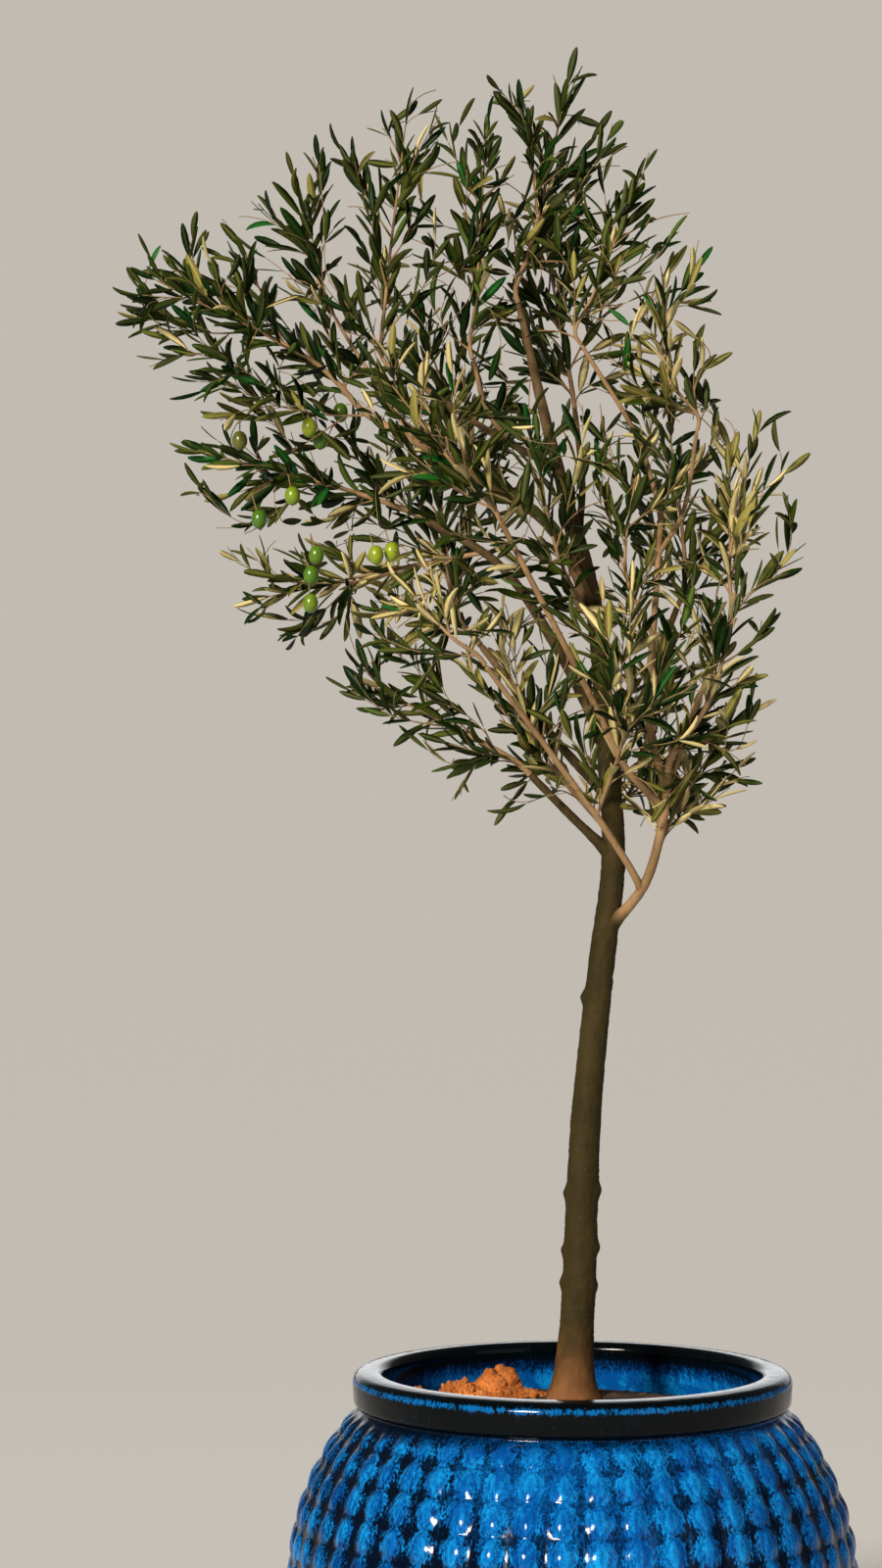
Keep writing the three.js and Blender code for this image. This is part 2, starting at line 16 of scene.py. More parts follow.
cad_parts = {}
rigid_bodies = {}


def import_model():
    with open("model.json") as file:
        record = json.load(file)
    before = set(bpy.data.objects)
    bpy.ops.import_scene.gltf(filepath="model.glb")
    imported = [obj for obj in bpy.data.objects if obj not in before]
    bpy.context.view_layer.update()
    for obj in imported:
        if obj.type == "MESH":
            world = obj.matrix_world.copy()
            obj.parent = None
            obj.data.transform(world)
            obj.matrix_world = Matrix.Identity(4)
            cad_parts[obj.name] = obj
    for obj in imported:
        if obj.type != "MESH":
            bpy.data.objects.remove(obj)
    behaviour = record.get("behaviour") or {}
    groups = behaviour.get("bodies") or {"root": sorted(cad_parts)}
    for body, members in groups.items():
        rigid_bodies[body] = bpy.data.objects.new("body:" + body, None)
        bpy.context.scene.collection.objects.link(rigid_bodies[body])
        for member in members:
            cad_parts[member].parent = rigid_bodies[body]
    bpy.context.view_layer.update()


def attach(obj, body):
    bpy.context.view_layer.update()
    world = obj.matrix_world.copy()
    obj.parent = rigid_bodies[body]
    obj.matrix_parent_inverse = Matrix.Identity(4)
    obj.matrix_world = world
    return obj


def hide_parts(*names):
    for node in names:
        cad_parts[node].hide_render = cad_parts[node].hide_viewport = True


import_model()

bl_info = {
    "name": "Potted olive tree",
    "version": (1, 0, 0),
    "blender": (4, 5, 0),
    "location": "View3D > Sidebar > Olive tree",
    "description": "Builds the pot, soil, limbs, twigs, leaves and fruit of a potted olive tree",
    "category": "Object",
}

MM = 0.001
GOLDEN_ANGLE = math.pi * (3 - math.sqrt(5))
# A direction that few twigs run along, from which the turns round a twig are measured
OFF_AXIS = Vector((0.3, 1.0, 0.2))

# Pot, in millimetres
POT_HEIGHT = 540
BELLY_RADIUS = 343
BELLY_HEIGHT = 285
NECK_RADIUS = 257
FOOT_RADIUS = 212
FOOT_HEIGHT = 12
RIM_RADIUS = 268
RIM_BOTTOM = 495
RIM_WIDTH = 38
# Arcs of the rim's section: middle, radii, both angles in degrees, and steps
RIM_ARCS = [
    ((RIM_RADIUS - 10, RIM_BOTTOM + 12), (9, 11), -90, -10, 5),
    ((RIM_RADIUS - 12, POT_HEIGHT - 14), (12, 13), 0, 80, 6),
    ((RIM_RADIUS - RIM_WIDTH + 10, POT_HEIGHT - 11), (10, 11), 95, 170, 6),
]
THROAT_RADIUS = 234
WALL = 18
FLOOR = 22
# Shares of the way up the body at which its inside has rings, and points across each dimple
INNER_SHARES = (0.2, 0.45, 0.68, 0.86)
ROW_STEPS = 12
COLUMN_STEPS = 8

# Soil and the clods on it, in millimetres
SOIL_HEIGHT = 507
SOIL_GAP = 0.4
SOIL_EDGE_DROP = 27
SOIL_FLAT_RADIUS = 60
SOIL_ROUGHNESS = 3
SOIL_GRID = (160, 90)
# Clods: middle from above, and radii
CLODS = {
    "clod_large": ((-88, 45), (24, 20, 24)),
    "clod_left": ((-138, 38), (26, 22, 17)),
    "clod_far_left": ((-190, 28), (14, 14, 10)),
    "clod_near_trunk": ((-56, 8), (16, 12, 8)),
}
CLOD_SINKING = 6
# The round lobes of the large clod: their middles from its own, and their radii
LARGE_LOBES = [
    (-12, -6, 25, 9.5), (10, -4, 22, 14), (2, 4, 29, 9), (-19, 0, 14, 11), (19, -2, 12, 10),
    (-2, -14, 16, 12), (6, 12, 18, 12),
]
# The heap of loose clay: its middle, radii and height, and its points around and outward
HEAP = ((-104, 26), (82, 30), 13)
HEAP_GRID = (48, 16)
CRUMB_RADII = (3.4, 2.7, 2.4)

# Trunk, in millimetres
TRUNK_LINE = [
    (-1, 0, 480), (0, 0, 507), (8, 0, 640), (17, 0, 850), (37, -2, 1045), (50, -6, 1165),
    (41, 0, 1314), (25, 8, 1482), (-5, 8, 1595), (-29, 0, 1684), (-66, -10, 1840),
]
TRUNK_RADIUS = 22
TRUNK_TIP_RADIUS = 3.6
TRUNK_TAPER = 0.8
FLARE = 12
FLARE_HEIGHT = 22
ROOT_SWELL = 3.2
ROOT_HEIGHT = 26
COLLAR_LENGTH = 13
TIP_ROUNDING = 4
YOUNG_FROM = 30
# How high the reddish dusting and the painted light on the lower trunk reach
DUST_AND_LIGHT_HEIGHT = 105
# Points kept along each limb, to find a height on it or how near it is
LIMB_MARKS = 60
KNOB_SWELL = 4.6
KNOB_HEIGHT = 8
# Scars of pruned twigs: height, side along X, and size
KNOBS = [
    (641, 1, 0.6), (646, -1, 0.9), (689, 1, 0.8), (685, -1, 0.8), (759, 1, 1), (755, -1, 0.8),
    (994, -1, 1.2),
]

# Boughs: name, parent, height where it leaves it, radii at both ends, and its line
BOUGHS = [
    ("right", "trunk", 1070, (6.6, 5), [(86, -38, 1132), (108, -60, 1213), (113, -75, 1268)]),
    ("tall_right", "right", 1243, (4.8, 3.4), [(91, -52, 1330), (99, -40, 1467), (108, -30, 1598)]),
    ("tall_front", "tall_right", 1575, (3.2, 2.5), [(80, -50, 1665), (8, -78, 1782)]),
    ("high_right", "tall_right", 1530, (3.1, 2.5), [(132, -52, 1582), (148, -65, 1679)]),
    ("far_right", "right", 1240, (3.8, 2.8), [(141, -62, 1330), (186, -35, 1444)]),
    ("crossing", "right", 1125, (4.6, 3), [(44, -72, 1190), (-20, -116, 1278), (-108, -165, 1394)]),
    ("long_left", "right", 1222, (4.6, 3.2), [(62, -84, 1272), (19, -112, 1357), (-91, -175, 1565)]),
    ("low_left", "trunk", 1160, (6.2, 4.4), [(0, -30, 1213), (-53, -50, 1266)]),
    ("left", "trunk", 1470, (8, 4.4), [(-30, -8, 1570), (-124, -8, 1632), (-238, 20, 1699)]),
    ("inner_left", "trunk", 1300, (8, 4.4), [(-20, 60, 1428), (-90, 112, 1530), (-180, 130, 1585)]),
    ("upper_left", "trunk", 1632, (4.8, 3), [(-90, -34, 1674), (-217, -65, 1755)]),
    ("upper_mid", "upper_left", 1662, (3.6, 2.8), [(-102, -14, 1705), (-121, 5, 1773)]),
    ("back_left", "trunk", 1225, (6.6, 4.2), [(-15, 80, 1305), (-110, 185, 1430)]),
    ("back_right", "trunk", 1270, (6.2, 4), [(85, 85, 1350), (140, 180, 1480)]),
    ("back_high", "trunk", 1550, (4.8, 3.4), [(15, 75, 1625), (8, 145, 1725)]),
]

# Painted shade on the boughs that stay in the shade: the share of young bark's pale colour that
# each keeps, so that it is painted darker; 1 for the rest
PAINTED_SHADE_ON_BOUGHS = {
    "low_left": 0.25, "inner_left": 0.35, "upper_left": 0.6, "upper_mid": 0.6, "back_left": 0.4,
    "back_right": 0.5, "back_high": 0.4,
}

# A mass of foliage: its name, limb, height on it or None for its tip, the axis of its space and
# the radii at both ends of that axis; how far its twigs reach out of that space, the room between
# twigs, and the share of its shoots whose leaves are painted golden as sunlit, painted sunlight;
# the other shoots are painted mostly in darker greens, painted shade
Mass = namedtuple("Mass", "name limb height axis radii overhang room sun")
FOLIAGE = [
    ("far_left", "left", None, [(-312, 15, 1768), (-462, 0, 1845)], (104, 96), 6, 29, 0.08),
    ("upper_left", "left", 1672, [(-306, 40, 1860), (-335, 20, 1975)], (76, 68), -26, 34, 0.1),
    ("top_left", "upper_left", None, [(-225, -60, 1856), (-206, -60, 2020)], (76, 70), -12, 33, 0.12),
    ("top_mid", "upper_mid", None, [(-118, -5, 1840), (-108, 0, 2000)], (82, 80), -10, 31, 0.18),
    ("top_centre", "trunk", None, [(-52, -10, 1905), (-12, -5, 2078)], (76, 76), -20, 29, 0.25),
    ("top_right", "tall_front", None, [(22, -75, 1840), (66, -60, 1950)], (74, 62), -26, 29, 0.3),
    ("right_high", "high_right", None, [(112, -68, 1745), (108, -60, 1845)], (70, 60), -10, 29, 0.6),
    ("centre_right", "tall_right", 1430, [(62, -70, 1510), (80, -55, 1650)], (72, 66), -20, 33, 0.6),
    ("far_right", "far_right", None, [(190, -30, 1525), (214, -5, 1640)], (60, 54), 12, 32, 0.85),
    ("right_side", "right", None, [(158, -115, 1350), (190, -105, 1455)], (76, 64), -24, 31, 0.85),
    ("right_low", "right", 1172, [(126, -30, 1225), (172, 0, 1295)], (68, 60), -20, 29, 0.7),
    ("low_centre", "trunk", 1190, [(-35, -50, 1290), (-82, -50, 1400)], (76, 76), -12, 29, 0.4),
    ("front_low", "crossing", 1215, [(58, -165, 1325), (62, -180, 1445)], (78, 72), -10, 29, 0.65),
    ("low_left", "low_left", None, [(-125, -65, 1312), (-249, -50, 1375)], (72, 62), -24, 31, 0.12),
    ("mid_low", "crossing", None, [(-146, -180, 1425), (-195, -150, 1480)], (74, 70), -38, 36, 0.4),
    ("centre", "trunk", 1445, [(-20, -80, 1530), (-45, -90, 1640)], (78, 76), -10, 29, 0.35),
    ("front_left", "long_left", None, [(-130, -190, 1610), (-212, -180, 1715)], (80, 76), -10, 29, 0.25),
    ("inner_left", "left", 1632, [(-140, 70, 1690), (-172, 80, 1790)], (80, 76), -5, 29, 0.15),
    ("left_low", "inner_left", None, [(-285, 135, 1625), (-425, 120, 1660)], (86, 78), -16, 35, 0.15),
    ("olives", "inner_left", 1545, [(-215, 150, 1525), (-345, 125, 1495)], (84, 80), -14, 29, 0.55),
    ("back_left", "back_left", None, [(-140, 215, 1470), (-165, 235, 1660)], (92, 84), -10, 29, 0.25),
    ("back_right", "back_right", None, [(150, 200, 1530), (130, 190, 1700)], (92, 80), -12, 29, 0.4),
    ("back_high", "back_high", None, [(0, 170, 1785), (-30, 150, 1940)], (92, 78), -16, 29, 0.3),
    ("back_low", "trunk", 1205, [(95, 115, 1285), (110, 150, 1390)], (76, 70), -10, 29, 0.4),
]
MASSES = [Mass(*row) for row in FOLIAGE]

# Olives, by the mass that bears them: the middle of each, and how lit and ripened it is: higher
# values paint it yellower, painted light, and the highest brownish, fully ripened
OLIVES = {
    "left_low": [
        (-408, 48, 1677, 1.0), (-322, 36, 1692, 0.75), (-309, 60, 1679, 0.25),
        (-343, 46, 1609, 0.45), (-384, 44, 1580, 0.15), (-284, 52, 1712, 0.2),
    ],
    "olives": [
        (-314, 62, 1537, 0.3), (-320, 44, 1511, 0.2), (-321, 52, 1477, 0.35),
        (-240, 44, 1536, 0.7), (-221, 60, 1541, 0.8),
    ],
}
# From an olive's middle up to the top of its stalk
OLIVE_DROP = 24
STALK_RADIUS = 0.8
OLIVE_GRID = (20, 14)


# Settings that a user would change


def length_setting(name, description, default):
    return FloatProperty(name=name, description=description, default=default, unit="LENGTH")


def colour_setting(name, description, default):
    return FloatVectorProperty(
        name=name, description=description, default=default, subtype="COLOR")


class PotSettings(bpy.types.PropertyGroup):
    columns: IntProperty(name="Columns", description="Dimples round the pot", default=48, min=8)
    rows: IntProperty(name="Rows", description="Dimples up the pot", default=13, min=2)
    depth: length_setting("Depth", "Depth of a dimple", 0.0055)
    glaze: colour_setting("Glaze", "Where the glaze lies thick", (0.001, 0.07, 0.31))
    pale_glaze: colour_setting("Pale glaze", "The glaze's pale veins", (0.005, 0.26, 0.68))
    dark_glaze: colour_setting("Dark glaze", "Where the glaze runs thin", (0.0006, 0.0035, 0.012))


class SoilSettings(bpy.types.PropertyGroup):
    crumbs: FloatProperty(
        name="Crumbs", description="Crumbs on each square metre of soil", default=5900, min=0)
    clay_crumbs: FloatProperty(
        name="Clay crumbs", description="Crumbs on each square metre of the clay heap",
        default=90000, min=0)
    soil: colour_setting("Soil", "Colour of the soil", (0.045, 0.022, 0.012))
    clay: colour_setting("Clay", "Colour of the dry clods", (0.52, 0.14, 0.02))


class BarkSettings(bpy.types.PropertyGroup):
    relief: length_setting("Relief", "Height of the bark's ridges", 0.0007)
    # The trunk's bark colour is darkened as painted shade under the crown
    bark: colour_setting("Bark", "Colour of the trunk's bark", (0.026, 0.0195, 0.0048))
    young_bark: colour_setting("Young bark", "Colour of the boughs' bark", (0.3, 0.183, 0.092))


class FoliageSettings(bpy.types.PropertyGroup):
    leaf_length: length_setting("Leaf length", "Length of a full leaf", 0.056)
    leaf_width: length_setting("Leaf width", "Width of a full leaf", 0.0112)
    leaf_spacing: length_setting("Leaf spacing", "Way from one pair of leaves to the next", 0.0255)
    shoot_spacing: length_setting("Shoot spacing", "Way from one side shoot to the next", 0.03)
    seed: IntProperty(name="Seed", description="Which tree of its kind grows", default=7)


class OliveSettings(bpy.types.PropertyGroup):
    length: length_setting("Length", "Length of a fruit", 0.024)
    width: length_setting("Width", "Width of a fruit", 0.019)
    green: colour_setting("Green", "Colour of a fruit", (0.05, 0.14, 0.006))


class StageSettings(bpy.types.PropertyGroup):
    floor: colour_setting("Floor", "Colour of the floor", (0.8, 0.8, 0.82))
    key: FloatProperty(name="Key light", description="Strength of the main light", default=4.8)
    soft: FloatProperty(name="Soft light", description="Strength of the light around", default=0.12)


# Node trees


def arithmetic(operation, reflected=False):
    """A method of Wire that adds a Math node; a reflected one has the wire as its last value."""
    def method(wire, *others):
        values = (*others, wire) if reflected else (wire, *others)
        inputs = dict(enumerate(values))
        return add_node(wire.tree, "ShaderNodeMath", {"operation": operation}, inputs)

    return method


class Wire:
    """A socket's value in a node tree. Arithmetic on it adds Math nodes."""

    __add__ = arithmetic("ADD")
    __radd__ = arithmetic("ADD", reflected=True)
    __sub__ = arithmetic("SUBTRACT")
    __rsub__ = arithmetic("SUBTRACT", reflected=True)
    __mul__ = arithmetic("MULTIPLY")
    __rmul__ = arithmetic("MULTIPLY", reflected=True)
    __truediv__ = arithmetic("DIVIDE")
    __pow__ = arithmetic("POWER")
    sine = arithmetic("SINE")
    size = arithmetic("ABSOLUTE")
    fraction = arithmetic("FRACT")
    above = arithmetic("GREATER_THAN")

    def __init__(self, tree, socket):
        self.tree = tree
        self.socket = socket

    def between(self, low, high):
        """0 below low, 1 above high, and a smooth step from one to the other."""
        settings = {"interpolation_type": "SMOOTHSTEP"}
        values = {"Value": self, "From Min": low, "From Max": high}
        return add_node(self.tree, "ShaderNodeMapRange", settings, values)


def fill_sockets(tree, sockets, values):
    for key, value in values.items():
        if isinstance(value, Wire):
            tree.links.new(value.socket, sockets[key])
        else:
            sockets[key].default_value = value


def add_node(tree, kind, settings=None, inputs=None, output=0):
    """Adds a node, sets its settings and then its sockets, and returns one of its outputs."""
    node = tree.nodes.new(kind)
    for name, value in (settings or {}).items():
        setattr(node, name, value)
    fill_sockets(tree, node.inputs, inputs or {})
    return Wire(tree, node.outputs[output])


def blend_colours(share, first, second):
    """first where share is 0, second where it is 1."""
    inputs = {0: share, 6: opaque(first), 7: opaque(second)}
    return add_node(share.tree, "ShaderNodeMix", {"data_type": "RGBA"}, inputs, 2)


def opaque(colour):
    return colour if isinstance(colour, Wire) else (*colour, 1.0)


def layered(colour, *coats):
    """A colour under coats of others; each coat is its share and its colour."""
    for share, coat in coats:
        colour = blend_colours(share, colour, coat)
    return colour


def object_place(tree, stretch=(1, 1, 1)):
    """The place on the piece, in metres, stretched by a factor along each axis."""
    place = add_node(tree, "ShaderNodeTexCoord", output=3)
    return add_node(tree, "ShaderNodeMapping", {"vector_type": "POINT"}, {0: place, 3: stretch})


def coordinate(tree, axis):
    return add_node(tree, "ShaderNodeSeparateXYZ", None, {0: object_place(tree)}, axis)


def speck_distance(tree, scale, stretch=(1, 1, 1)):
    """How far the place lies from the nearest of many scattered specks."""
    inputs = {"Vector": object_place(tree, stretch), "Scale": scale}
    return add_node(tree, "ShaderNodeTexVoronoi", {"feature": "F1"}, inputs)


def cloudy(tree, scale, detail=3, rough=0.55, twist=0, stretch=(1, 1, 1)):
    """Noise from 0 to 1; scale sets how fine its clouds are, detail how many finer ones it has."""
    inputs = {"Vector": object_place(tree, stretch), "Scale": scale, "Detail": detail}
    inputs |= {"Roughness": rough, "Distortion": twist}
    return add_node(tree, "ShaderNodeTexNoise", {"noise_dimensions": "3D"}, inputs)


def attribute(tree, name):
    return add_node(tree, "ShaderNodeAttribute", {"attribute_name": name}, output=2)


def bump(height, strength, distance):
    return add_node(
        height.tree, "ShaderNodeBump", None,
        {"Strength": strength, "Distance": distance, "Height": height})


def new_material(name):
    """An empty material with its shader, and the shader's tree."""
    material = bpy.data.materials.new(name)
    material.use_nodes = True
    return material, material.node_tree


def finish_material(material, **sockets):
    """Gives the shader its values and wires."""
    tree = material.node_tree
    values = {name.replace("_", " "): value for name, value in sockets.items()}
    fill_sockets(tree, tree.nodes["Principled BSDF"].inputs, values)
    return material


# Meshes


def new_object(name, data):
    made = bpy.data.objects.new(name, data)
    bpy.context.scene.collection.objects.link(made)
    return made


def mesh_object(name, vertices, faces, smooth=True):
    mesh = bpy.data.meshes.new(name)
    mesh.from_pydata([tuple(v) for v in vertices], [], faces)
    if smooth:
        mesh.shade_smooth()
    mesh.update()
    return new_object(name, mesh)


def store(mesh, name, values, kind="FLOAT", domain="POINT"):
    """Gives the mesh an attribute, with a value for each of its points or faces."""
    made = mesh.attributes.new(name, kind, domain)
    field = "vector" if kind == "FLOAT_VECTOR" else "value"
    made.data.foreach_set(field, np.asarray(values, "i" if kind == "INT" else "f").ravel())


def mix(low, high, share):
    return low + (high - low) * share


def even_shares(count):
    """Even shares of a length, from 0 to 1."""
    return [i / count for i in range(count + 1)]


def ring_turns(sides):
    """The cosine and the sine of each even turn round a ring."""
    angles = [2 * math.pi * i / sides for i in range(sides)]
    return [(math.cos(angle), math.sin(angle)) for angle in angles]


def tube_faces(sides, rings):
    """Faces of a tube whose first and last rings are closed to a point each."""
    faces = [(0, 1 + (i + 1) % sides, 1 + i) for i in range(sides)]
    for ring in range(rings - 1):
        low = 1 + ring * sides
        for i in range(sides):
            j = (i + 1) % sides
            faces.append((low + i, low + j, low + sides + j, low + sides + i))
    top = 1 + rings * sides
    low = top - sides
    faces += [(low + i, low + (i + 1) % sides, top) for i in range(sides)]
    return faces


def joined(name, pieces):
    """One new object with the meshes of several."""
    shape = bmesh.new()
    for piece in pieces:
        shape.from_mesh(piece.data)
    mesh = bpy.data.meshes.new(name)
    shape.to_mesh(mesh)
    shape.free()
    return new_object(name, mesh)


def dress(piece, body_slot, *nodes, material=None):
    """The piece rides with the root body, takes the material if one is given, and stands for its nodes;
    body_slot is not used.
    """
    if material:
        piece.data.materials.append(material)
    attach(piece, "root")
    if nodes:
        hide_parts(*nodes)
    return piece


# Geometry node trees


class Tree:
    """A geometry node tree with named inputs, ended by realized and painted geometry."""

    def __init__(self, name, **inputs):
        self.group = bpy.data.node_groups.new(name, "GeometryNodeTree")
        face = self.group.interface
        face.new_socket("Geometry", in_out="INPUT", socket_type="NodeSocketGeometry")
        face.new_socket("Geometry", in_out="OUTPUT", socket_type="NodeSocketGeometry")
        for key, kind in inputs.items():
            face.new_socket(key, in_out="INPUT", socket_type=f"NodeSocket{kind}")
        self.source = self.group.nodes.new("NodeGroupInput")

    def read(self, name):
        return Wire(self.group, self.source.outputs[name])

    def node(self, kind, settings=None, inputs=None, output=0):
        return add_node(self.group, kind, settings, inputs, output)

    def named(self, name, kind="FLOAT"):
        return self.node("GeometryNodeInputNamedAttribute", {"data_type": kind}, {"Name": name})

    def keep(self, shape, name, value):
        """The shape with a value stored on its points."""
        settings = {"data_type": "FLOAT", "domain": "POINT"}
        inputs = {"Geometry": shape, "Name": name, "Value": value}
        return self.node("GeometryNodeStoreNamedAttribute", settings, inputs)

    def close(self, shape, *paints):
        """Realizes the shape and paints it; each paint is a material and where it goes."""
        shape = self.node("GeometryNodeRealizeInstances", None, {0: shape})
        for material, where in paints:
            inputs = {"Geometry": shape, "Material": material}
            if where is not None:
                inputs["Selection"] = where
            shape = self.node("GeometryNodeSetMaterial", None, inputs)
        fill_sockets(self.group, self.group.nodes.new("NodeGroupOutput").inputs, {0: shape})
        return self.group


def grow(source, group, name, **values):
    """Runs a tree on an object, and returns its result as a plain mesh object."""
    modifier = source.modifiers.new(group.name, "NODES")
    modifier.node_group = group
    keys = {s.name: s.identifier for s in group.interface.items_tree if s.in_out == "INPUT"}
    for key, value in values.items():
        modifier[keys[key]] = value
    graph = bpy.context.evaluated_depsgraph_get()
    ready = source.evaluated_get(graph)
    mesh = bpy.data.meshes.new_from_object(ready, preserve_all_data_layers=True, depsgraph=graph)
    source.modifiers.remove(modifier)
    mesh.name = name
    made = new_object(name, mesh)
    bpy.data.objects.remove(source)
    return made


# Pot


def body_point(share):
    """The body's outer radius and height, at a share of the way from the foot to the neck."""
    neck = math.acos(NECK_RADIUS / BELLY_RADIUS)
    foot = -math.acos(FOOT_RADIUS / BELLY_RADIUS)
    angle = foot + share * (neck - foot)
    upper = (RIM_BOTTOM - BELLY_HEIGHT) / math.sin(neck)
    lower = (BELLY_HEIGHT - FOOT_HEIGHT) / math.sin(-foot)
    rise = upper if angle > 0 else lower
    return BELLY_RADIUS * math.cos(angle), BELLY_HEIGHT + rise * math.sin(angle)


def arc(middle, radii, start, end, steps):
    """Points of an ellipse's arc, between two angles in degrees."""
    points = []
    for i in range(steps + 1):
        angle = math.radians(start + (end - start) * i / steps)
        across, up = math.cos(angle), math.sin(angle)
        points.append((middle[0] + radii[0] * across, middle[1] + radii[1] * up))
    return points


def inner_wall(gap=0):
    """Points down the inside of the body, or a gap inside it, from its foot to its neck."""
    points = [(FOOT_RADIUS - WALL - gap, FLOOR + gap)]
    for share in INNER_SHARES:
        radius, height = body_point(share)
        points.append((radius - WALL - gap, height))
    return points


def pot_profile(rows):
    """Rings of the pot: radius, height, row of dimples or -1, and the share of the rim's look."""
    rings = [(0, 0, -1, 0), (FOOT_RADIUS - 8, 0, -1, 0), (FOOT_RADIUS - 2, 2, -1, 0)]
    rings += [(FOOT_RADIUS, 6, -1, 0)]
    steps = rows * ROW_STEPS
    for i in range(steps + 1):
        radius, height = body_point(i / steps)
        rings.append((radius, height, rows * i / steps, 0))
    for curve in RIM_ARCS:
        rings += [(radius, height, -1, 1) for radius, height in arc(*curve)]
    rings += [
        (RIM_RADIUS - RIM_WIDTH, POT_HEIGHT - 22, -1, 0.8),
        (THROAT_RADIUS, RIM_BOTTOM + 10, -1, 0.5), (THROAT_RADIUS, RIM_BOTTOM, -1, 0)]
    rings += [(radius, height, -1, 0) for radius, height in reversed(inner_wall())]
    return rings + [(0, FLOOR, -1, 0)]


def pot_shape(settings):
    rings = pot_profile(settings.rows)
    around = settings.columns * COLUMN_STEPS
    turns = ring_turns(around)
    last_rim = max(i for i, ring in enumerate(rings) if ring[3] == 1)
    vertices = []
    marks = {"row": [], "column": [], "rim": [], "inside": []}
    for index, (radius, height, row, rim) in enumerate(rings):
        for i, (cosine, sine) in enumerate(turns if radius else turns[:1]):
            vertices.append((radius * MM * sine, radius * MM * cosine, height * MM))
            column = settings.columns * i / around
            for mark, value in zip(marks.values(), (row, column, rim, index > last_rim)):
                mark.append(value)
    made = mesh_object("pot_rings", vertices, tube_faces(around, len(rings) - 2))
    for name, values in marks.items():
        store(made.data, name, values)
    return made


def dimple_tree():
    """Sinks an oval dimple in each cell, so that each column is a chain pinched at its joints."""
    tree = Tree("Dimples", Rows="Int", Depth="Float", Glaze="Material")
    row, column = tree.named("row"), tree.named("column")
    aside = 2 * (column.fraction() - 0.5).size()
    upright = (row * math.pi).sine().size() ** 0.8
    across = 1 - (aside / (0.62 + 0.36 * upright)).between(0.1, 1.0)
    field = row.between(-0.4, 0.5) * (1 - row.between(tree.read("Rows") - 0.8, tree.read("Rows")))
    hollow = across * (0.25 + 0.75 * upright) * field
    sunk = 0 - hollow * tree.read("Depth")
    normal = tree.node("GeometryNodeInputNormal")
    offset = tree.node("ShaderNodeVectorMath", {"operation": "SCALE"}, {0: normal, "Scale": sunk})
    shape = tree.read("Geometry")
    for name, value in (("aside", aside), ("upright", upright), ("field", field)):
        shape = tree.keep(shape, name, value)
    shape = tree.node("GeometryNodeSetPosition", None, {"Geometry": shape, "Offset": offset})
    return tree.close(shape, (tree.read("Glaze"), None))


def chain_of_ovals(tree, rough):
    """1 in the chain of ovals that runs down each column, 0 between the chains."""
    aside, upright = attribute(tree, "aside"), attribute(tree, "upright")
    return (0.17 + 0.6 * upright - aside + rough).between(-0.34, 0.34)


def outlines(tree, rough):
    """Thin lines that run along the ovals' outlines, one inside the other."""
    aside, upright = attribute(tree, "aside"), attribute(tree, "upright")
    return ((0.6 * upright - aside) * 13 + rough * 6).sine().between(0.2, 1.0)


# Colours of the lines along the ovals, of the rim and of the flecks on it
OVAL_LINE = (0.0005, 0.025, 0.14)
DARK_RIM = (0.0006, 0.0016, 0.0022)
RIM_FLECK = (0.003, 0.13, 0.42)
# The flecked band on the rim: where its height and its radius fade in and out, in metres
BAND_START = (0.523, 0.529)
BAND_END = (0.531, 0.536)
BAND_RADII = (0.25, 0.26)


def glaze_material(settings):
    """Glossy glaze, pale and thick in the chains of ovals, near black between them."""
    material, tree = new_material("running_glaze")
    streaks = cloudy(tree, 95, 5, 0.62, 1.2, stretch=(1, 1, 0.22))
    grain = cloudy(tree, 420, 3, 0.65, stretch=(1, 1, 0.45))
    clouds = cloudy(tree, 34, 4, 0.6, 0.8, stretch=(1, 1, 0.35))
    drifts = cloudy(tree, 4.5, 1, 0.5)
    rim, inside, field = (attribute(tree, name) for name in ("rim", "inside", "field"))
    x, y, z = (coordinate(tree, axis) for axis in range(3))
    speckled = 1.3 * (streaks - 0.5) + 1.5 * (grain - 0.5)
    chain = chain_of_ovals(tree, speckled) * field
    drift = 2.2 * (drifts - 0.5) + 0.5 * x.between(-0.32, 0.12) - 0.34
    pooled = (chain + drift + 0.8 * speckled).between(-0.05, 1.0)
    mottled = (clouds + 0.4 * speckled).between(0.34, 0.78)
    body = layered(
        settings.dark_glaze, (pooled, settings.glaze),
        (pooled * (0.3 + 0.7 * chain) * mottled, settings.pale_glaze),
        (outlines(tree, speckled) * chain * 0.6, OVAL_LINE))
    depth = 1.8 * (inside - rim) + 1.6 * speckled
    wall = layered(
        settings.dark_glaze, (depth.between(0.2, 1.6), settings.glaze),
        (depth.between(0.7, 2.0) * mottled, settings.pale_glaze))
    band = z.between(*BAND_START) * (1 - z.between(*BAND_END))
    band = band * ((x * x + y * y) ** 0.5).between(*BAND_RADII)
    flecks = (speckled + 0.4 * band).between(0.2, 0.5) * (0.12 + 0.88 * band)
    flecked = blend_colours(flecks * 0.85, DARK_RIM, RIM_FLECK)
    colour = layered(body, (inside.between(0.4, 0.6), wall), (rim.between(0.7, 0.95), flecked))
    return finish_material(
        material, Base_Color=colour, Roughness=0.05 + 0.12 * clouds, IOR=1.24,
        Normal=bump(clouds + 0.15 * streaks, 0.3, 0.0018))


class OLIVE_OT_pot(bpy.types.Operator):
    """Build the dimpled, glazed pot"""

    bl_idname = "olive.pot"
    bl_label = "Pot"

    def execute(self, context):
        settings = context.scene.olive_pot
        glaze = glaze_material(settings)
        made = grow(
            pot_shape(settings), dimple_tree(), "pot_glazed", Rows=settings.rows,
            Depth=settings.depth, Glaze=glaze)
        dress(made, "glaze", "pot")
        return {"FINISHED"}


# Soil


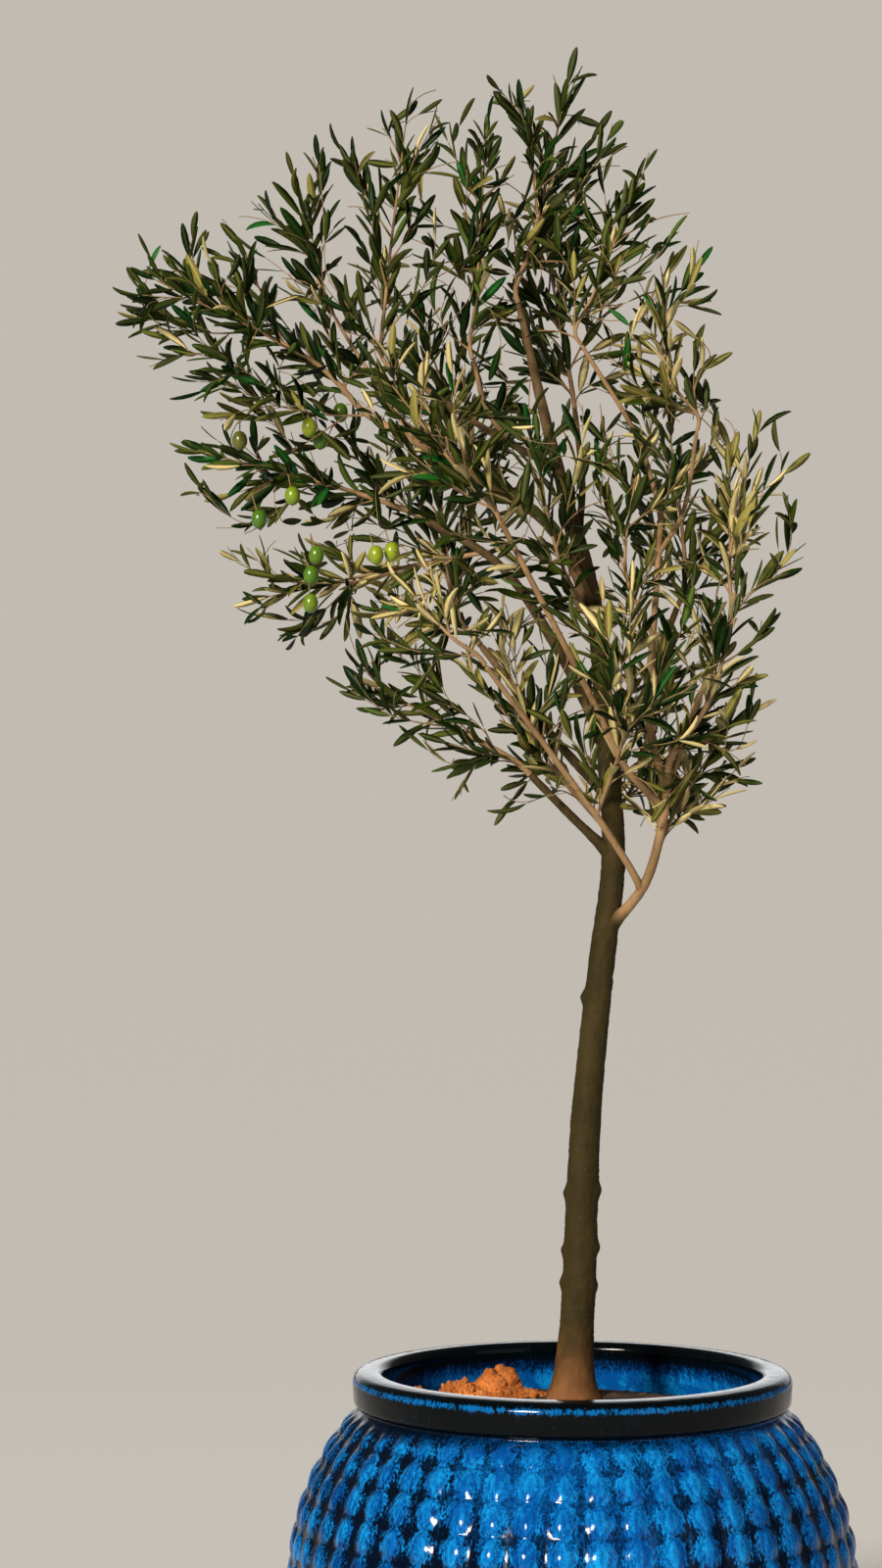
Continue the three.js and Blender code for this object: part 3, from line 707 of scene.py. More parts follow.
def soil_height(x, y):
    """The soil's height above the pot's underside, in millimetres."""
    out = max(0.0, math.hypot(x, y) - SOIL_FLAT_RADIUS) / (THROAT_RADIUS - SOIL_FLAT_RADIUS)
    rough = noise.fractal(Vector((x, y, 0)) * 0.06, 0.6, 2.2, 4)
    edge = min(1.0, max(0.0, (1 - out) * 12))
    return SOIL_HEIGHT - SOIL_EDGE_DROP * out + SOIL_ROUGHNESS * (rough * edge - 0.5)


def soil_shape():
    """The filled pot's inside: a rough top over the smooth wall and floor."""
    around, across = SOIL_GRID
    rings = inner_wall(SOIL_GAP)
    rings += [((THROAT_RADIUS - SOIL_GAP) * (1 - i / across), None) for i in range(across)]
    vertices = [(0, 0, (FLOOR + SOIL_GAP) * MM)]
    for radius, height in rings:
        for cosine, sine in ring_turns(around):
            x, y = -radius * sine, radius * cosine
            z = soil_height(x, y) if height is None else height
            vertices.append((x * MM, y * MM, z * MM))
    vertices.append((0, 0, soil_height(0, 0) * MM))
    faces = [face[::-1] for face in tube_faces(around, len(rings))]
    return mesh_object("soil_bed", vertices, faces)


PALE_SOIL = (0.16, 0.075, 0.035)
PALE_CLAY = (0.68, 0.23, 0.05)


def earth_material(name, colour, pale, scale):
    """Grains and patches, from a shade of the colour to its pale form."""
    material, tree = new_material(name)
    grains = cloudy(tree, scale, 6, 0.7)
    patches = cloudy(tree, scale / 12, 2, 0.5)
    share = (grains * 0.6 + patches * 0.5).between(0.38, 0.72)
    dark = tuple(0.4 * part for part in colour)
    tone = blend_colours(share, dark, blend_colours(patches.between(0.4, 0.7), colour, pale))
    return finish_material(
        material, Base_Color=tone, Roughness=0.95, Normal=bump(grains, 0.9, 0.0015))


def small_lobes(radii, seed, count):
    """Round lobes here and there on a lump's upper side, as middles and radii."""
    chance = random.Random(seed)
    made = []
    for _ in range(count):
        x, y, z = (chance.gauss(0, 1) for _axis in range(3))
        way = Vector((x, y, abs(z))).normalized()
        middle = [0.8 * r * w for r, w in zip(radii, way)]
        made.append((*middle, chance.uniform(0.18, 0.32) * max(radii)))
    return made


def lobed_reach(way, radii, lobes):
    """How far a lump reaches from its middle: the farthest of its body and its lobes."""
    reach = 1 / math.sqrt(sum((w / r) ** 2 for w, r in zip(way, radii)))
    for *middle, radius in lobes:
        along = way.dot(Vector(middle))
        inside = radius**2 - Vector(middle).length_squared + along**2
        if inside > 0:
            reach = max(reach, along + math.sqrt(inside))
    return reach


def lump(name, centre, radii, seed, lobes=(), level=6, rough=0.06):
    """A crumbly lump of clay with round lobes and a grainy skin."""
    mesh = bpy.data.meshes.new(name)
    shape = bmesh.new()
    bmesh.ops.create_icosphere(shape, subdivisions=level, radius=1.0)
    shift = Vector((seed * 7.3, seed * 3.1, seed))
    for vertex in shape.verts:
        way = vertex.co.normalized()
        reach = lobed_reach(way, radii, lobes)
        grains = noise.fractal(way * reach * 0.16 + shift, 0.7, 2.2, 5)
        vertex.co = (Vector(centre) + way * reach * (1 + rough * grains)) * MM
    shape.to_mesh(mesh)
    shape.free()
    mesh.shade_smooth()
    return new_object(name, mesh)


def heap_shape():
    """The low heap of loose clay that the clods lie in."""
    (x, y), radii, rise = HEAP
    steps, rings = HEAP_GRID
    vertices = [(x * MM, y * MM, (soil_height(x, y) + rise) * MM)]
    for ring in range(1, rings + 1):
        out = ring / rings
        for cosine, sine in ring_turns(steps):
            px = x + radii[0] * out * cosine
            py = y + radii[1] * out * sine
            rough = 1 + 0.5 * noise.noise(Vector((px, py, 3)) * 0.05)
            top = rise * rough * (1 - out**2) - 3 * out
            vertices.append((px * MM, py * MM, (soil_height(px, py) + top) * MM))
    vertices.append((x * MM, y * MM, (soil_height(x, y) - 6) * MM))
    faces = [face[::-1] for face in tube_faces(steps, rings)]
    return mesh_object("clay_heap", vertices, faces)


def crumb_tree():
    """Scatters crumbs over the soil, larger ones rarer."""
    tree = Tree("Crumbs", Crumb="Object", Density="Float", Seed="Int", Earth="Material")
    up = tree.node("ShaderNodeSeparateXYZ", None, {0: tree.node("GeometryNodeInputNormal")}, 2)
    points = tree.node(
        "GeometryNodeDistributePointsOnFaces", {"distribute_method": "RANDOM"},
        {"Mesh": tree.read("Geometry"), "Selection": up.above(0.5),
         "Density": tree.read("Density"), "Seed": tree.read("Seed")})
    size = tree.node(
        "FunctionNodeRandomValue", {"data_type": "FLOAT"}, {2: 0.0, 3: 1.0, "Seed": 3}, 1)
    turn = tree.node(
        "FunctionNodeRandomValue", {"data_type": "FLOAT_VECTOR"},
        {0: (0, 0, 0), 1: (6.28, 6.28, 6.28), "Seed": 5})
    turned = tree.node("FunctionNodeEulerToRotation", None, {0: turn})
    crumb = tree.node("GeometryNodeObjectInfo", None, {"Object": tree.read("Crumb")}, 4)
    crumbs = tree.node(
        "GeometryNodeInstanceOnPoints", None,
        {"Points": points, "Instance": crumb, "Rotation": turned, "Scale": 0.35 + size**3})
    return tree.close(crumbs, (tree.read("Earth"), None))


class OLIVE_OT_soil(bpy.types.Operator):
    """Build the soil, its crumbs and the clods on it"""

    bl_idname = "olive.soil"
    bl_label = "Soil"

    def execute(self, context):
        settings = context.scene.olive_soil
        soil = earth_material("dark_soil", settings.soil, PALE_SOIL, 260)
        clay = earth_material("dry_clay", settings.clay, PALE_CLAY, 240)
        crumb = lump("crumb", (0, 0, 0), CRUMB_RADII, 3, level=2, rough=0.5)
        crumb.data.shade_flat()
        bed, heap = soil_shape(), heap_shape()
        clods = {}
        for seed, (name, (place, radii)) in enumerate(CLODS.items()):
            lobes = LARGE_LOBES if name == "clod_large" else small_lobes(radii, seed, 16)
            clods[name] = lump(
                f"{name}_crumbly", (*place, SOIL_HEIGHT - CLOD_SINKING), radii, seed, lobes)
        loose = [heap, *(clods[name] for name in CLODS if name != "clod_large")]
        grounds = (
            ("soil", [bed], soil, settings.crumbs), ("clay", loose, clay, settings.clay_crumbs))
        for slot, pieces, earth, density in grounds:
            crumbs = grow(
                joined(f"{slot}_ground", pieces), crumb_tree(), f"{slot}_crumbs", Crumb=crumb,
                Density=density, Seed=4, Earth=earth)
            dress(crumbs, slot)
        bpy.data.objects.remove(crumb)
        dress(bed, "soil", "soil", material=soil)
        dress(heap, "clay", material=clay)
        for node, clod in clods.items():
            dress(clod, "clay", node, material=clay)
        return {"FINISHED"}


# Lines that limbs and twigs follow


class Line:
    """A line through many points, read by a share of its length."""

    def __init__(self, points):
        self.points = points
        self.marks = [0.0]
        for before, after in zip(points, points[1:]):
            self.marks.append(self.marks[-1] + (after - before).length)
        self.length = self.marks[-1]

    def at(self, share):
        goal = share * self.length
        i = min(max(1, bisect.bisect_left(self.marks, goal)), len(self.points) - 1)
        low, high = self.marks[i - 1], self.marks[i]
        return self.points[i - 1].lerp(self.points[i], (goal - low) / max(high - low, 1e-6))

    def heading(self, share):
        return (self.at(min(1, share + 0.01)) - self.at(max(0, share - 0.01))).normalized()

    def even(self, count):
        return [self.at(share) for share in even_shares(count)]


def smooth_line(points, steps=24):
    """A centripetal Catmull-Rom line through the points."""
    points = [Vector(p) for p in points]
    ends = [2 * points[0] - points[1], *points, 2 * points[-1] - points[-2]]
    made = []
    for before, start, end, after in zip(ends, ends[1:], ends[2:], ends[3:]):
        a, b, c = (math.sqrt(way.length) for way in (start - before, end - start, after - end))
        leave = ((start - before) / a - (end - before) / (a + b) + (end - start) / b) * b
        arrive = ((end - start) / b - (after - start) / (b + c) + (after - end) / c) * b
        for step in range(steps):
            t = step / steps
            bend = 2 * start - 2 * end + leave + arrive
            pull = 3 * end - 3 * start - 2 * leave - arrive
            made.append(start + leave * t + pull * t * t + bend * t**3)
    made.append(points[-1])
    return Line(made)


class Limb:
    """The trunk or a bough: its line, its radius along it, and points to keep clear of."""

    def __init__(self, name, line, radius, sunk=0.0, from_trunk=False):
        self.name = name
        self.line = line
        self.radius = radius
        self.sunk = sunk
        self.from_trunk = from_trunk
        self.points = line.even(LIMB_MARKS)

    def share_at(self, height):
        nearest = min(self.points, key=lambda point: abs(point.z - height))
        return self.points.index(nearest) / LIMB_MARKS

    def at_height(self, height):
        return self.points[round(LIMB_MARKS * self.share_at(height))]


def trunk_radius(share):
    bottom, top = TRUNK_LINE[0][2], TRUNK_LINE[-1][2]
    above = max(0.0, bottom + share * (top - bottom) - SOIL_HEIGHT)
    taper = (1 - above / (top - SOIL_HEIGHT)) ** TRUNK_TAPER
    flare = FLARE * math.exp(-above / FLARE_HEIGHT)
    return TRUNK_TIP_RADIUS + (TRUNK_RADIUS - TRUNK_TIP_RADIUS) * taper + flare


@functools.cache
def limbs():
    made = {"trunk": Limb("trunk", smooth_line(TRUNK_LINE), trunk_radius)}
    for name, parent, height, (thick, thin), points in BOUGHS:
        share = made[parent].share_at(height)
        sunk = made[parent].radius(share)
        points = [made[parent].at_height(height), *points]
        if parent != "trunk":
            points.insert(0, points[0] - made[parent].line.heading(share) * 1.5 * sunk)
            sunk *= 2.5
        taper = functools.partial(mix, thick, thin)
        made[name] = Limb(name, smooth_line(points), taper, sunk, parent == "trunk")
    return made


# Trunk and boughs


def frames(line, count):
    """Points along a line, each with two directions across it that don't twist."""
    across = line.heading(0).orthogonal().normalized()
    made = []
    for i in range(count + 1):
        heading = line.heading(i / count)
        across = (across - across.dot(heading) * heading).normalized()
        made.append((line.at(i / count), across, heading.cross(across)))
    return made


def knob_swell(point, way):
    """How far the scars of pruned twigs swell the trunk at a point of its skin, in 0 to 1."""
    swell = 0.0
    for height, side, size in KNOBS:
        near = ((point.z - height) / KNOB_HEIGHT) ** 2
        aside = max(0.0, way.x * side)
        if near < 6 and aside > 0.5:
            swell += size * math.exp(-near) * math.exp((aside - 1) / 0.09)
    return swell


def skin(limb, point, way, share, relief):
    """The limb's radius at a point of its skin, with the bark's ridges."""
    radius = limb.radius(share)
    place = point + way * radius
    stretched = Vector((place.x, place.y, place.z * 0.35))
    broad = noise.noise(stretched * 0.045 + Vector((3, 1, 7)))
    fine = noise.fractal(stretched * 0.22, 0.7, 2.1, 4)
    wrinkle = noise.noise(Vector((place.x * 0.05, place.y * 0.05, place.z * 0.3)))
    rough = relief * min(1.0, radius / 14)
    grown = radius * (1 + 0.045 * broad) + rough * (fine + 0.7 * wrinkle)
    if limb.name == "trunk":
        foot = math.exp(-max(0.0, place.z - SOIL_HEIGHT) / ROOT_HEIGHT)
        lobes = math.cos(3 * math.atan2(way.y, way.x) + 0.6)
        return grown + KNOB_SWELL * knob_swell(place, way) + ROOT_SWELL * foot * lobes
    collar = 0.55 if limb.from_trunk else 0.12
    beyond = max(0.0, share * limb.line.length - limb.sunk)
    return grown + collar * radius * math.exp(-beyond / COLLAR_LENGTH)


def limb_shape(limb, name, relief, sides, step):
    """The limb's skin, with how young its bark is, cut down as painted shade on shaded boughs, and where
    its scars are.
    """
    rings = max(6, round(limb.line.length / step))
    placed = frames(limb.line, rings)
    vertices = [placed[0][0] * MM]
    youth, scar = [0.0], [0.0]
    trunk = limb.name == "trunk"
    sun = PAINTED_SHADE_ON_BOUGHS.get(limb.name, 1.0)
    for i, (point, across, aside) in enumerate(placed):
        share = i / rings
        left = (1 - share) * limb.line.length
        end = min(1.0, math.sqrt(max(0.02, left / TIP_ROUNDING)))
        for cosine, sine in ring_turns(sides):
            way = across * cosine + aside * sine
            vertices.append((point + way * skin(limb, point, way, share, relief) * end) * MM)
            beyond = share * limb.line.length - limb.sunk
            grown = min(1, beyond / YOUNG_FROM) if limb.from_trunk else 1
            # How young the bark is; on boughs painted as shaded it is cut down, painted shade
            youth.append((share - 0.45) * 0.9 if trunk else sun * grown)
            scar.append(knob_swell(point + way * limb.radius(share), way) ** 6 if trunk else 0.0)
    tip = placed[-1][0] + limb.line.heading(1) * 0.5
    vertices.append(tip * MM)
    made = mesh_object(name, vertices, tube_faces(sides, rings + 1))
    store(made.data, "youth", np.clip([*youth, 1.0], 0, 1))
    store(made.data, "scar", np.clip([*scar, 0.0], 0, 1))
    return made


# Colours in the bark: patches on the trunk and on the boughs, streaks, specks, scars, and a reddish
# dusting near the soil that also paints the lower trunk lighter, painted light
BROWN_PATCH = (0.042, 0.029, 0.008)
GREEN_PATCH = (0.023, 0.022, 0.005)
YOUNG_PATCH = (0.17, 0.105, 0.048)
BARK_STREAK = (0.04, 0.026, 0.012)
BARK_SPECK = (0.14, 0.09, 0.045)
SCAR = (0.02, 0.014, 0.008)
DUST_AND_LIGHT = (0.26, 0.105, 0.04)


def bark_material(settings):
    """Smooth olive bark, pinkish on the boughs, with streaks, specks, and a reddish dusting near the
    soil that also stands for painted light on the lower trunk.
    """
    material, tree = new_material("olive_bark")
    streaks = cloudy(tree, 160, 4, 0.6, 0.6, stretch=(1, 1, 0.18))
    patches = cloudy(tree, 26, 3, 0.55, stretch=(1, 1, 0.5))
    rings = cloudy(tree, 120, 2, 0.5, stretch=(0.5, 0.5, 1.8))
    specks = speck_distance(tree, 130, stretch=(1, 1, 0.6))
    youth, scar = attribute(tree, "youth"), attribute(tree, "scar")
    young = blend_colours(patches.between(0.4, 0.7), settings.young_bark, YOUNG_PATCH)
    # Reddish dusting near the soil, partly painted light: the lower trunk is painted lighter than the
    # shaded rest
    dust_and_light = 1 - coordinate(tree, 2).between(SOIL_HEIGHT * MM, (SOIL_HEIGHT + DUST_AND_LIGHT_HEIGHT) * MM)
    dust_and_light = dust_and_light * (0.4 + 0.6 * patches.between(0.35, 0.65))
    colour = layered(
        settings.bark,
        (patches.between(0.35, 0.65), BROWN_PATCH),
        (patches.between(0.55, 0.75) * 0.6, GREEN_PATCH),
        # Young bark's pale colour, less of it on boughs painted as shaded
        ((youth + 0.5 * (streaks - 0.5)).between(0.1, 0.9), young),
        (streaks.between(0.5, 0.8) * 0.45, BARK_STREAK),
        ((1 - specks.between(0.05, 0.14)) * 0.25, BARK_SPECK),
        (scar * 0.8, SCAR),
        (dust_and_light * 0.7, DUST_AND_LIGHT))
    height = streaks * 0.6 + rings * 0.5
    return finish_material(
        material, Base_Color=colour, Roughness=0.6 + 0.2 * height, Specular_IOR_Level=0.12,
        Normal=bump(height, 0.5, 0.0012))


class OLIVE_OT_limbs(bpy.types.Operator):
    """Build the trunk and the boughs with their bark"""

    bl_idname = "olive.limbs"
    bl_label = "Trunk and boughs"

    def execute(self, context):
        settings = context.scene.olive_bark
        relief = settings.relief / MM
        bark = bark_material(settings)
        trunk = limb_shape(limbs()["trunk"], "trunk_bark", relief, sides=56, step=2.6)
        dress(trunk, "bark", "trunk", material=bark)
        for name, *_rest in BOUGHS:
            made = limb_shape(limbs()[name], f"bough_{name}_bark", relief, sides=18, step=3.2)
            dress(made, "young_bark", f"bough_{name}", material=bark)
        return {"FINISHED"}


# Crown: the spaces of its masses, and what grows in them


class Twig:
    """A twig's line, its radii, where its leaves start, its mass, and most of its leaves' kind."""

    def __init__(self, points, thick, thin, bare, mass):
        self.line = Line(points)
        self.thick = thick
        self.thin = thin
        self.bare = bare
        self.mass = mass
        self.tone = None
        self.marks = np.array([tuple(p) for p in self.line.even(max(4, int(self.line.length / 6)))])

    def radius(self, share):
        return mix(self.thick, self.thin, share)


class Spaces:
    """The room that each mass keeps to: a capsule round its axis."""

    def __init__(self):
        self.near = np.array([mass.axis[0] for mass in MASSES], float)
        self.along = np.array([mass.axis[1] for mass in MASSES], float) - self.near
        self.radii = np.array([mass.radii for mass in MASSES], float)
        self.overhangs = np.array([mass.overhang for mass in MASSES], float)

    def outside(self, point):
        """How far a point lies outside each mass's space, negative inside."""
        offset = np.array(point) - self.near
        share = np.clip((offset * self.along).sum(1) / (self.along**2).sum(1), 0, 1)
        away = np.linalg.norm(offset - self.along * share[:, None], axis=1)
        return away - mix(self.radii[:, 0], self.radii[:, 1], share)

    def owns(self, index, point, beyond=0.0, margin=3.0):
        """Whether a point is this mass's own: it may reach farther out between two masses."""
        away = self.outside(point)
        own = away[index]
        away[index] = math.inf
        nearest = away.min()
        reach = self.overhangs[index] + beyond
        if nearest < NEIGHBOUR_REACH:
            reach += GAP_OVERHANG
        return own < reach and nearest > own + margin


@functools.cache
def limb_marks():
    """Points of every limb's middle, and the limb's radius at each."""
    places, radii = [], []
    for limb in limbs().values():
        places += [tuple(p) for p in limb.points]
        radii += [limb.radius(share) for share in even_shares(LIMB_MARKS)]
    return np.array(places), np.array(radii)


def clear_of_limbs(point, room):
    places, radii = limb_marks()
    return bool((np.linalg.norm(places - np.array(point), axis=1) > radii + room).all())


def across_of(heading, turn):
    across = heading.cross(OFF_AXIS).normalized()
    return Matrix.Rotation(turn, 3, heading) @ across


# Growth of the crown, in millimetres: how far leaves reach past the twigs' space, how much farther
# the space goes where a neighbour is near, and how near that is
LEAF_REACH = 24
GAP_OVERHANG = 50
NEIGHBOUR_REACH = 50
# Shoots and twigs: steps along them, how fast they turn up, their lengths, and their lean
SHOOT_STEP = 6
TWIG_STEPS = 8
UPTURN = 0.0016
LONGEST_SHOOT = 230
SHORTEST_SHOOT = 26
LONGEST_TWIG = 150
SHOOT_LEANS = (0.5, 0.85)
# Most that each is thick at its start, and how thick it is at its tip
STEM_RADII = (3.4, 0.8)
SHOOT_RADII = (1.7, 0.55)
TWIG_RADII = (1.3, 0.6)
TWIG_SIDES = 6
# How far a stem goes straight on from its limb's tip
STRAIGHT_START = 15
# How often a mass tries for a finer twig, and what turning back adds to the way of one
FILL_TRIES = 260
BACKWARD_COST = 800
# Leaves: the angle to their twig, the roll, their sizes, the share that has fallen, the share that
# is of their twig's own kind, and the room round one
LEAF_ANGLES = (0.36, 0.85)
LEAF_ROLL = 0.9
LEAF_SIZES = (0.72, 1.12)
FALLEN_LEAVES = 0.1
LEAVES_ALIKE = 0.8
LEAF_ROOM = 4.2
LIMB_ROOM = 3
LEAF_KINDS = ("deep", "olive", "grey", "golden", "fresh")
# How near a leaf may come to the line of sight to an olive, and how far behind it that line goes
OLIVE_SIGHT = 14
OLIVE_DEPTH = 12


def reach_of(spaces, index, way, leaf):
    """How far a shoot can grow and still leave room for a leaf at its end."""
    reach = 0
    while reach < LONGEST_SHOOT:
        after = way(reach + SHOOT_STEP)
        beyond = way(reach + SHOOT_STEP + 0.8 * leaf)
        inside = spaces.owns(index, after) and spaces.owns(index, beyond, LEAF_REACH)
        if not inside or not clear_of_limbs(after, LIMB_ROOM):
            break
        reach += SHOOT_STEP
    return reach


def shoots_of(spaces, index, stem, spacing, leaf, chance):
    """Side shoots at even steps, each turned by the golden angle from the one below."""
    made = []
    count = int(stem.line.length / spacing)
    for i in range(count):
        share = (i + 0.3 + 0.5 * chance.random()) / count
        heading = stem.line.heading(share)
        across = across_of(heading, i * GOLDEN_ANGLE + 0.7 * chance.random())
        lean = chance.uniform(*SHOOT_LEANS)
        direction = heading * math.cos(lean) + across * math.sin(lean)
        start = stem.line.at(share)

        def way(far, start=start, direction=direction):
            return start + direction * far + Vector((0, 0, UPTURN * far * far))

        reach = reach_of(spaces, index, way, leaf) * chance.uniform(0.75, 1.0)
        if reach < SHORTEST_SHOOT:
            continue
        points = [way(reach * k / TWIG_STEPS) for k in range(TWIG_STEPS + 1)]
        thick, thin = SHOOT_RADII
        made.append(Twig(points, min(thick, 0.8 * stem.radius(share)), thin, 5, index))
    return made


class Branching:
    """A mass's twigs as marks that finer twigs can leave from."""

    def __init__(self, twigs):
        self.places = np.empty((0, 3))
        self.headings = np.empty((0, 3))
        self.radii = np.empty(0)
        for twig in twigs:
            self.add(twig)

    def add(self, twig):
        count = max(3, int(twig.line.length / 8))
        shares = [i / count for i in range(1, count)]
        self.places = np.vstack([self.places, [tuple(twig.line.at(s)) for s in shares]])
        self.headings = np.vstack([self.headings, [tuple(twig.line.heading(s)) for s in shares]])
        self.radii = np.append(self.radii, [twig.radius(s) for s in shares])

    def distance(self, goal):
        return np.linalg.norm(self.places - np.array(goal), axis=1).min()

    def twig_to(self, goal, index, widest):
        """A twig from the mark that needs the least way and the least turn to get there."""
        offset = np.array(goal) - self.places
        far = np.linalg.norm(offset, axis=1) + 1e-6
        turn = (offset * self.headings).sum(1) / far
        drop = np.clip(0.3 - offset[:, 2] / far, 0, None)
        cost = far * (1.6 - turn + 0.6 * drop) + BACKWARD_COST * (turn < widest)
        best = int(cost.argmin())
        if cost[best] > BACKWARD_COST:
            return None
        start, heading = Vector(self.places[best]), Vector(self.headings[best])
        length = far[best]
        bend = heading * 0.62 + Vector(offset[best] / length) * 0.38 - Vector((0, 0, 0.1))
        middle = start + bend.normalized() * length * 0.5
        points = [
            start * (1 - t) ** 2 + middle * 2 * t * (1 - t) + Vector(goal) * t * t
            for t in even_shares(TWIG_STEPS)]
        thick, thin = TWIG_RADII
        return Twig(points, min(thick, 0.85 * self.radii[best]), thin, 4, index)


def fill_space(spaces, index, branching, chance):
    """Finer twigs, each to a spot of the mass's space that no twig is near to yet."""
    near, along = spaces.near[index], spaces.along[index]
    widths = spaces.radii[index] + spaces.overhangs[index] + GAP_OVERHANG
    made = []
    for _ in range(FILL_TRIES):
        share = chance.uniform(-0.35, 1.35)
        width = mix(*widths, min(1, max(0, share)))
        way = Vector([chance.gauss(0, 1) for _axis in range(3)]).normalized()
        goal = Vector(near + along * share) + way * width * chance.random() ** 0.4
        if not spaces.owns(index, goal) or not clear_of_limbs(goal, 4):
            continue
        if branching.distance(goal) < MASSES[index].room:
            continue
        twig = branching.twig_to(goal, index, 0.45)
        if twig and twig.line.length < LONGEST_TWIG and clear_of_limbs(twig.line.at(0.5), 2):
            branching.add(twig)
            made.append(twig)
    return made


def stem_of(index):
    """The stem runs from its limb to the far end of the mass's space."""
    mass = MASSES[index]
    limb = limbs()[mass.limb]
    near, far = (Vector(end) for end in mass.axis)
    if mass.height is None:
        start = limb.line.at(1)
        straight = [start + limb.line.heading(1) * STRAIGHT_START]
        thick = limb.radius(1)
    else:
        start = limb.at_height(mass.height)
        straight = []
        thick = min(STEM_RADII[0], 0.7 * limb.radius(0.5))
    beyond = far + (far - near).normalized() * 0.5 * (mass.radii[1] + mass.overhang)
    line = smooth_line([start, *straight, near, far, beyond])
    return Twig(line.points, thick, STEM_RADII[1], 0.45 * (near - start).length, index)


Leaf = namedtuple("Leaf", "place turn size kind")


class Leaves:
    """The leaves, the spots that they take up, and the olives that they keep off."""

    def __init__(self):
        self.all = []
        self.taken = np.empty((0, 3))
        self.fruit = np.empty((0, 3))

    def add(self, leaf, samples):
        self.all.append(leaf)
        self.taken = np.vstack([self.taken, np.array(samples)])

    def shun(self, fruit):
        """Keeps the leaves off the olives, and from hiding them from the front."""
        self.fruit = np.array([tuple(one.centre) for one in fruit])

    def is_free(self, samples, room):
        samples = np.array(samples)
        aside = self.fruit[None, :, :] - samples[:, None, :]
        hides = np.hypot(aside[:, :, 0], aside[:, :, 2]) < OLIVE_SIGHT
        if (hides & (aside[:, :, 1] > -OLIVE_DEPTH)).any():
            return False
        gaps = self.taken[None, :, :] - samples[:, None, :]
        return bool(((gaps**2).sum(2) > room * room).all())


def leaves_along(spaces, twig, leaves, leaf, spacing, chance):
    """Opposite pairs, each pair turned a quarter from the last, and a leaf or two at the tip."""
    length = twig.line.length
    pairs = int((length - twig.bare) / spacing)
    turn = chance.uniform(0, math.pi)
    for i in range(pairs + 1):
        share = max(0.02, min(0.998, 1 - i * spacing / length))
        point = twig.line.at(share)
        heading = twig.line.heading(share)
        across = across_of(heading, turn)
        for side in (0,) if i == 0 else (1, -1):
            if i and chance.random() < FALLEN_LEAVES:
                continue
            angle = chance.uniform(*LEAF_ANGLES) * (0.75 if i < 3 else 1.0)
            ahead = math.cos(angle) if side else 1
            direction = (heading * ahead + across * (side * math.sin(angle))).normalized()
            size = leaf * chance.uniform(*LEAF_SIZES) * (0.78 if i < 2 else 1.0)
            face = heading if side else across.cross(heading)
            face = Matrix.Rotation(chance.uniform(-LEAF_ROLL, LEAF_ROLL), 3, direction) @ face
            set_leaf(spaces, twig, leaves, point, direction, face, size, chance)
        turn += math.pi / 2


def set_leaf(spaces, twig, leaves, point, direction, face, size, chance):
    """Adds a leaf if it keeps to its mass, clear of the limbs, the olives and other leaves."""
    side = direction.cross(face).normalized()
    up = side.cross(direction)
    root = point + direction * twig.thin
    samples = [root + direction * size * share for share in (0.45, 0.75, 1.0)]
    if not all(spaces.owns(twig.mass, p, LEAF_REACH, 0.0) for p in samples[1:]):
        return
    if not leaves.is_free(samples, LEAF_ROOM) or not clear_of_limbs(samples[0], LIMB_ROOM):
        return
    turn = Matrix((side, direction, up)).transposed().to_euler()
    kind = twig.tone if chance.random() < LEAVES_ALIKE else chance.choice(LEAF_KINDS)
    leaves.add(Leaf(root, turn, size, kind), samples)


def tone_of(sun, chance):
    """A shoot's kind of leaf: painted sunlit golden by its mass's share, else darker, painted shade."""
    if chance.random() < sun:
        return chance.choices(("golden", "olive", "deep"), (0.6, 0.25, 0.15))[0]
    return chance.choices(("deep", "grey", "olive", "fresh"), (0.48, 0.2, 0.25, 0.07))[0]


# An olive: the twig's end that its stalk hangs from, its middle, and how lit and ripened it is, partly
# painted light
Fruit = namedtuple("Fruit", "top centre ripe")


def hang_olives(index, branching, chance):
    """A thin twig to the top of each olive's stalk, and the olive below it."""
    twigs, fruit = [], []
    for *place, ripe in OLIVES.get(MASSES[index].name, []):
        centre = Vector(place)
        top = centre + Vector((chance.uniform(-3, 3), chance.uniform(0, 5), OLIVE_DROP))
        beyond = top + Vector((chance.uniform(-12, 2), chance.uniform(0, 9), 3))
        twig = branching.twig_to(beyond, index, -0.3)
        if twig is None:
            raise ValueError(f"no twig reaches the olive at {place}")
        branching.add(twig)
        twigs.append(twig)
        fruit.append(Fruit(min(twig.marks[1:], key=lambda p: math.dist(p, top)), centre, ripe))
    return twigs, fruit


@functools.lru_cache(maxsize=2)
def crown(leaf, leaf_spacing, shoot_spacing, seed):
    """All twigs, leaves and fruit of the crown, in millimetres."""
    spaces, leaves = Spaces(), Leaves()
    twigs, fruit = [], []
    for index, mass in enumerate(MASSES):
        chance = random.Random(seed + 31 * index)
        stem = stem_of(index)
        own = [stem, *shoots_of(spaces, index, stem, shoot_spacing, leaf, chance)]
        branching = Branching(own)
        fruiting, hung = hang_olives(index, branching, chance)
        own += fruiting
        fruit += hung
        own += fill_space(spaces, index, branching, chance)
        for twig in own:
            twig.tone = tone_of(mass.sun, chance)
        twigs.append(own)
    leaves.shun(fruit)
    for index, own in enumerate(twigs):
        chance = random.Random(seed + 31 * index + 17)
        for twig in own:
            leaves_along(spaces, twig, leaves, leaf, leaf_spacing, chance)
    return twigs, leaves, fruit


def crown_of(context):
    settings = context.scene.olive_foliage
    return crown(
        settings.leaf_length / MM, settings.leaf_spacing / MM, settings.shoot_spacing / MM,
        settings.seed)


# Twigs


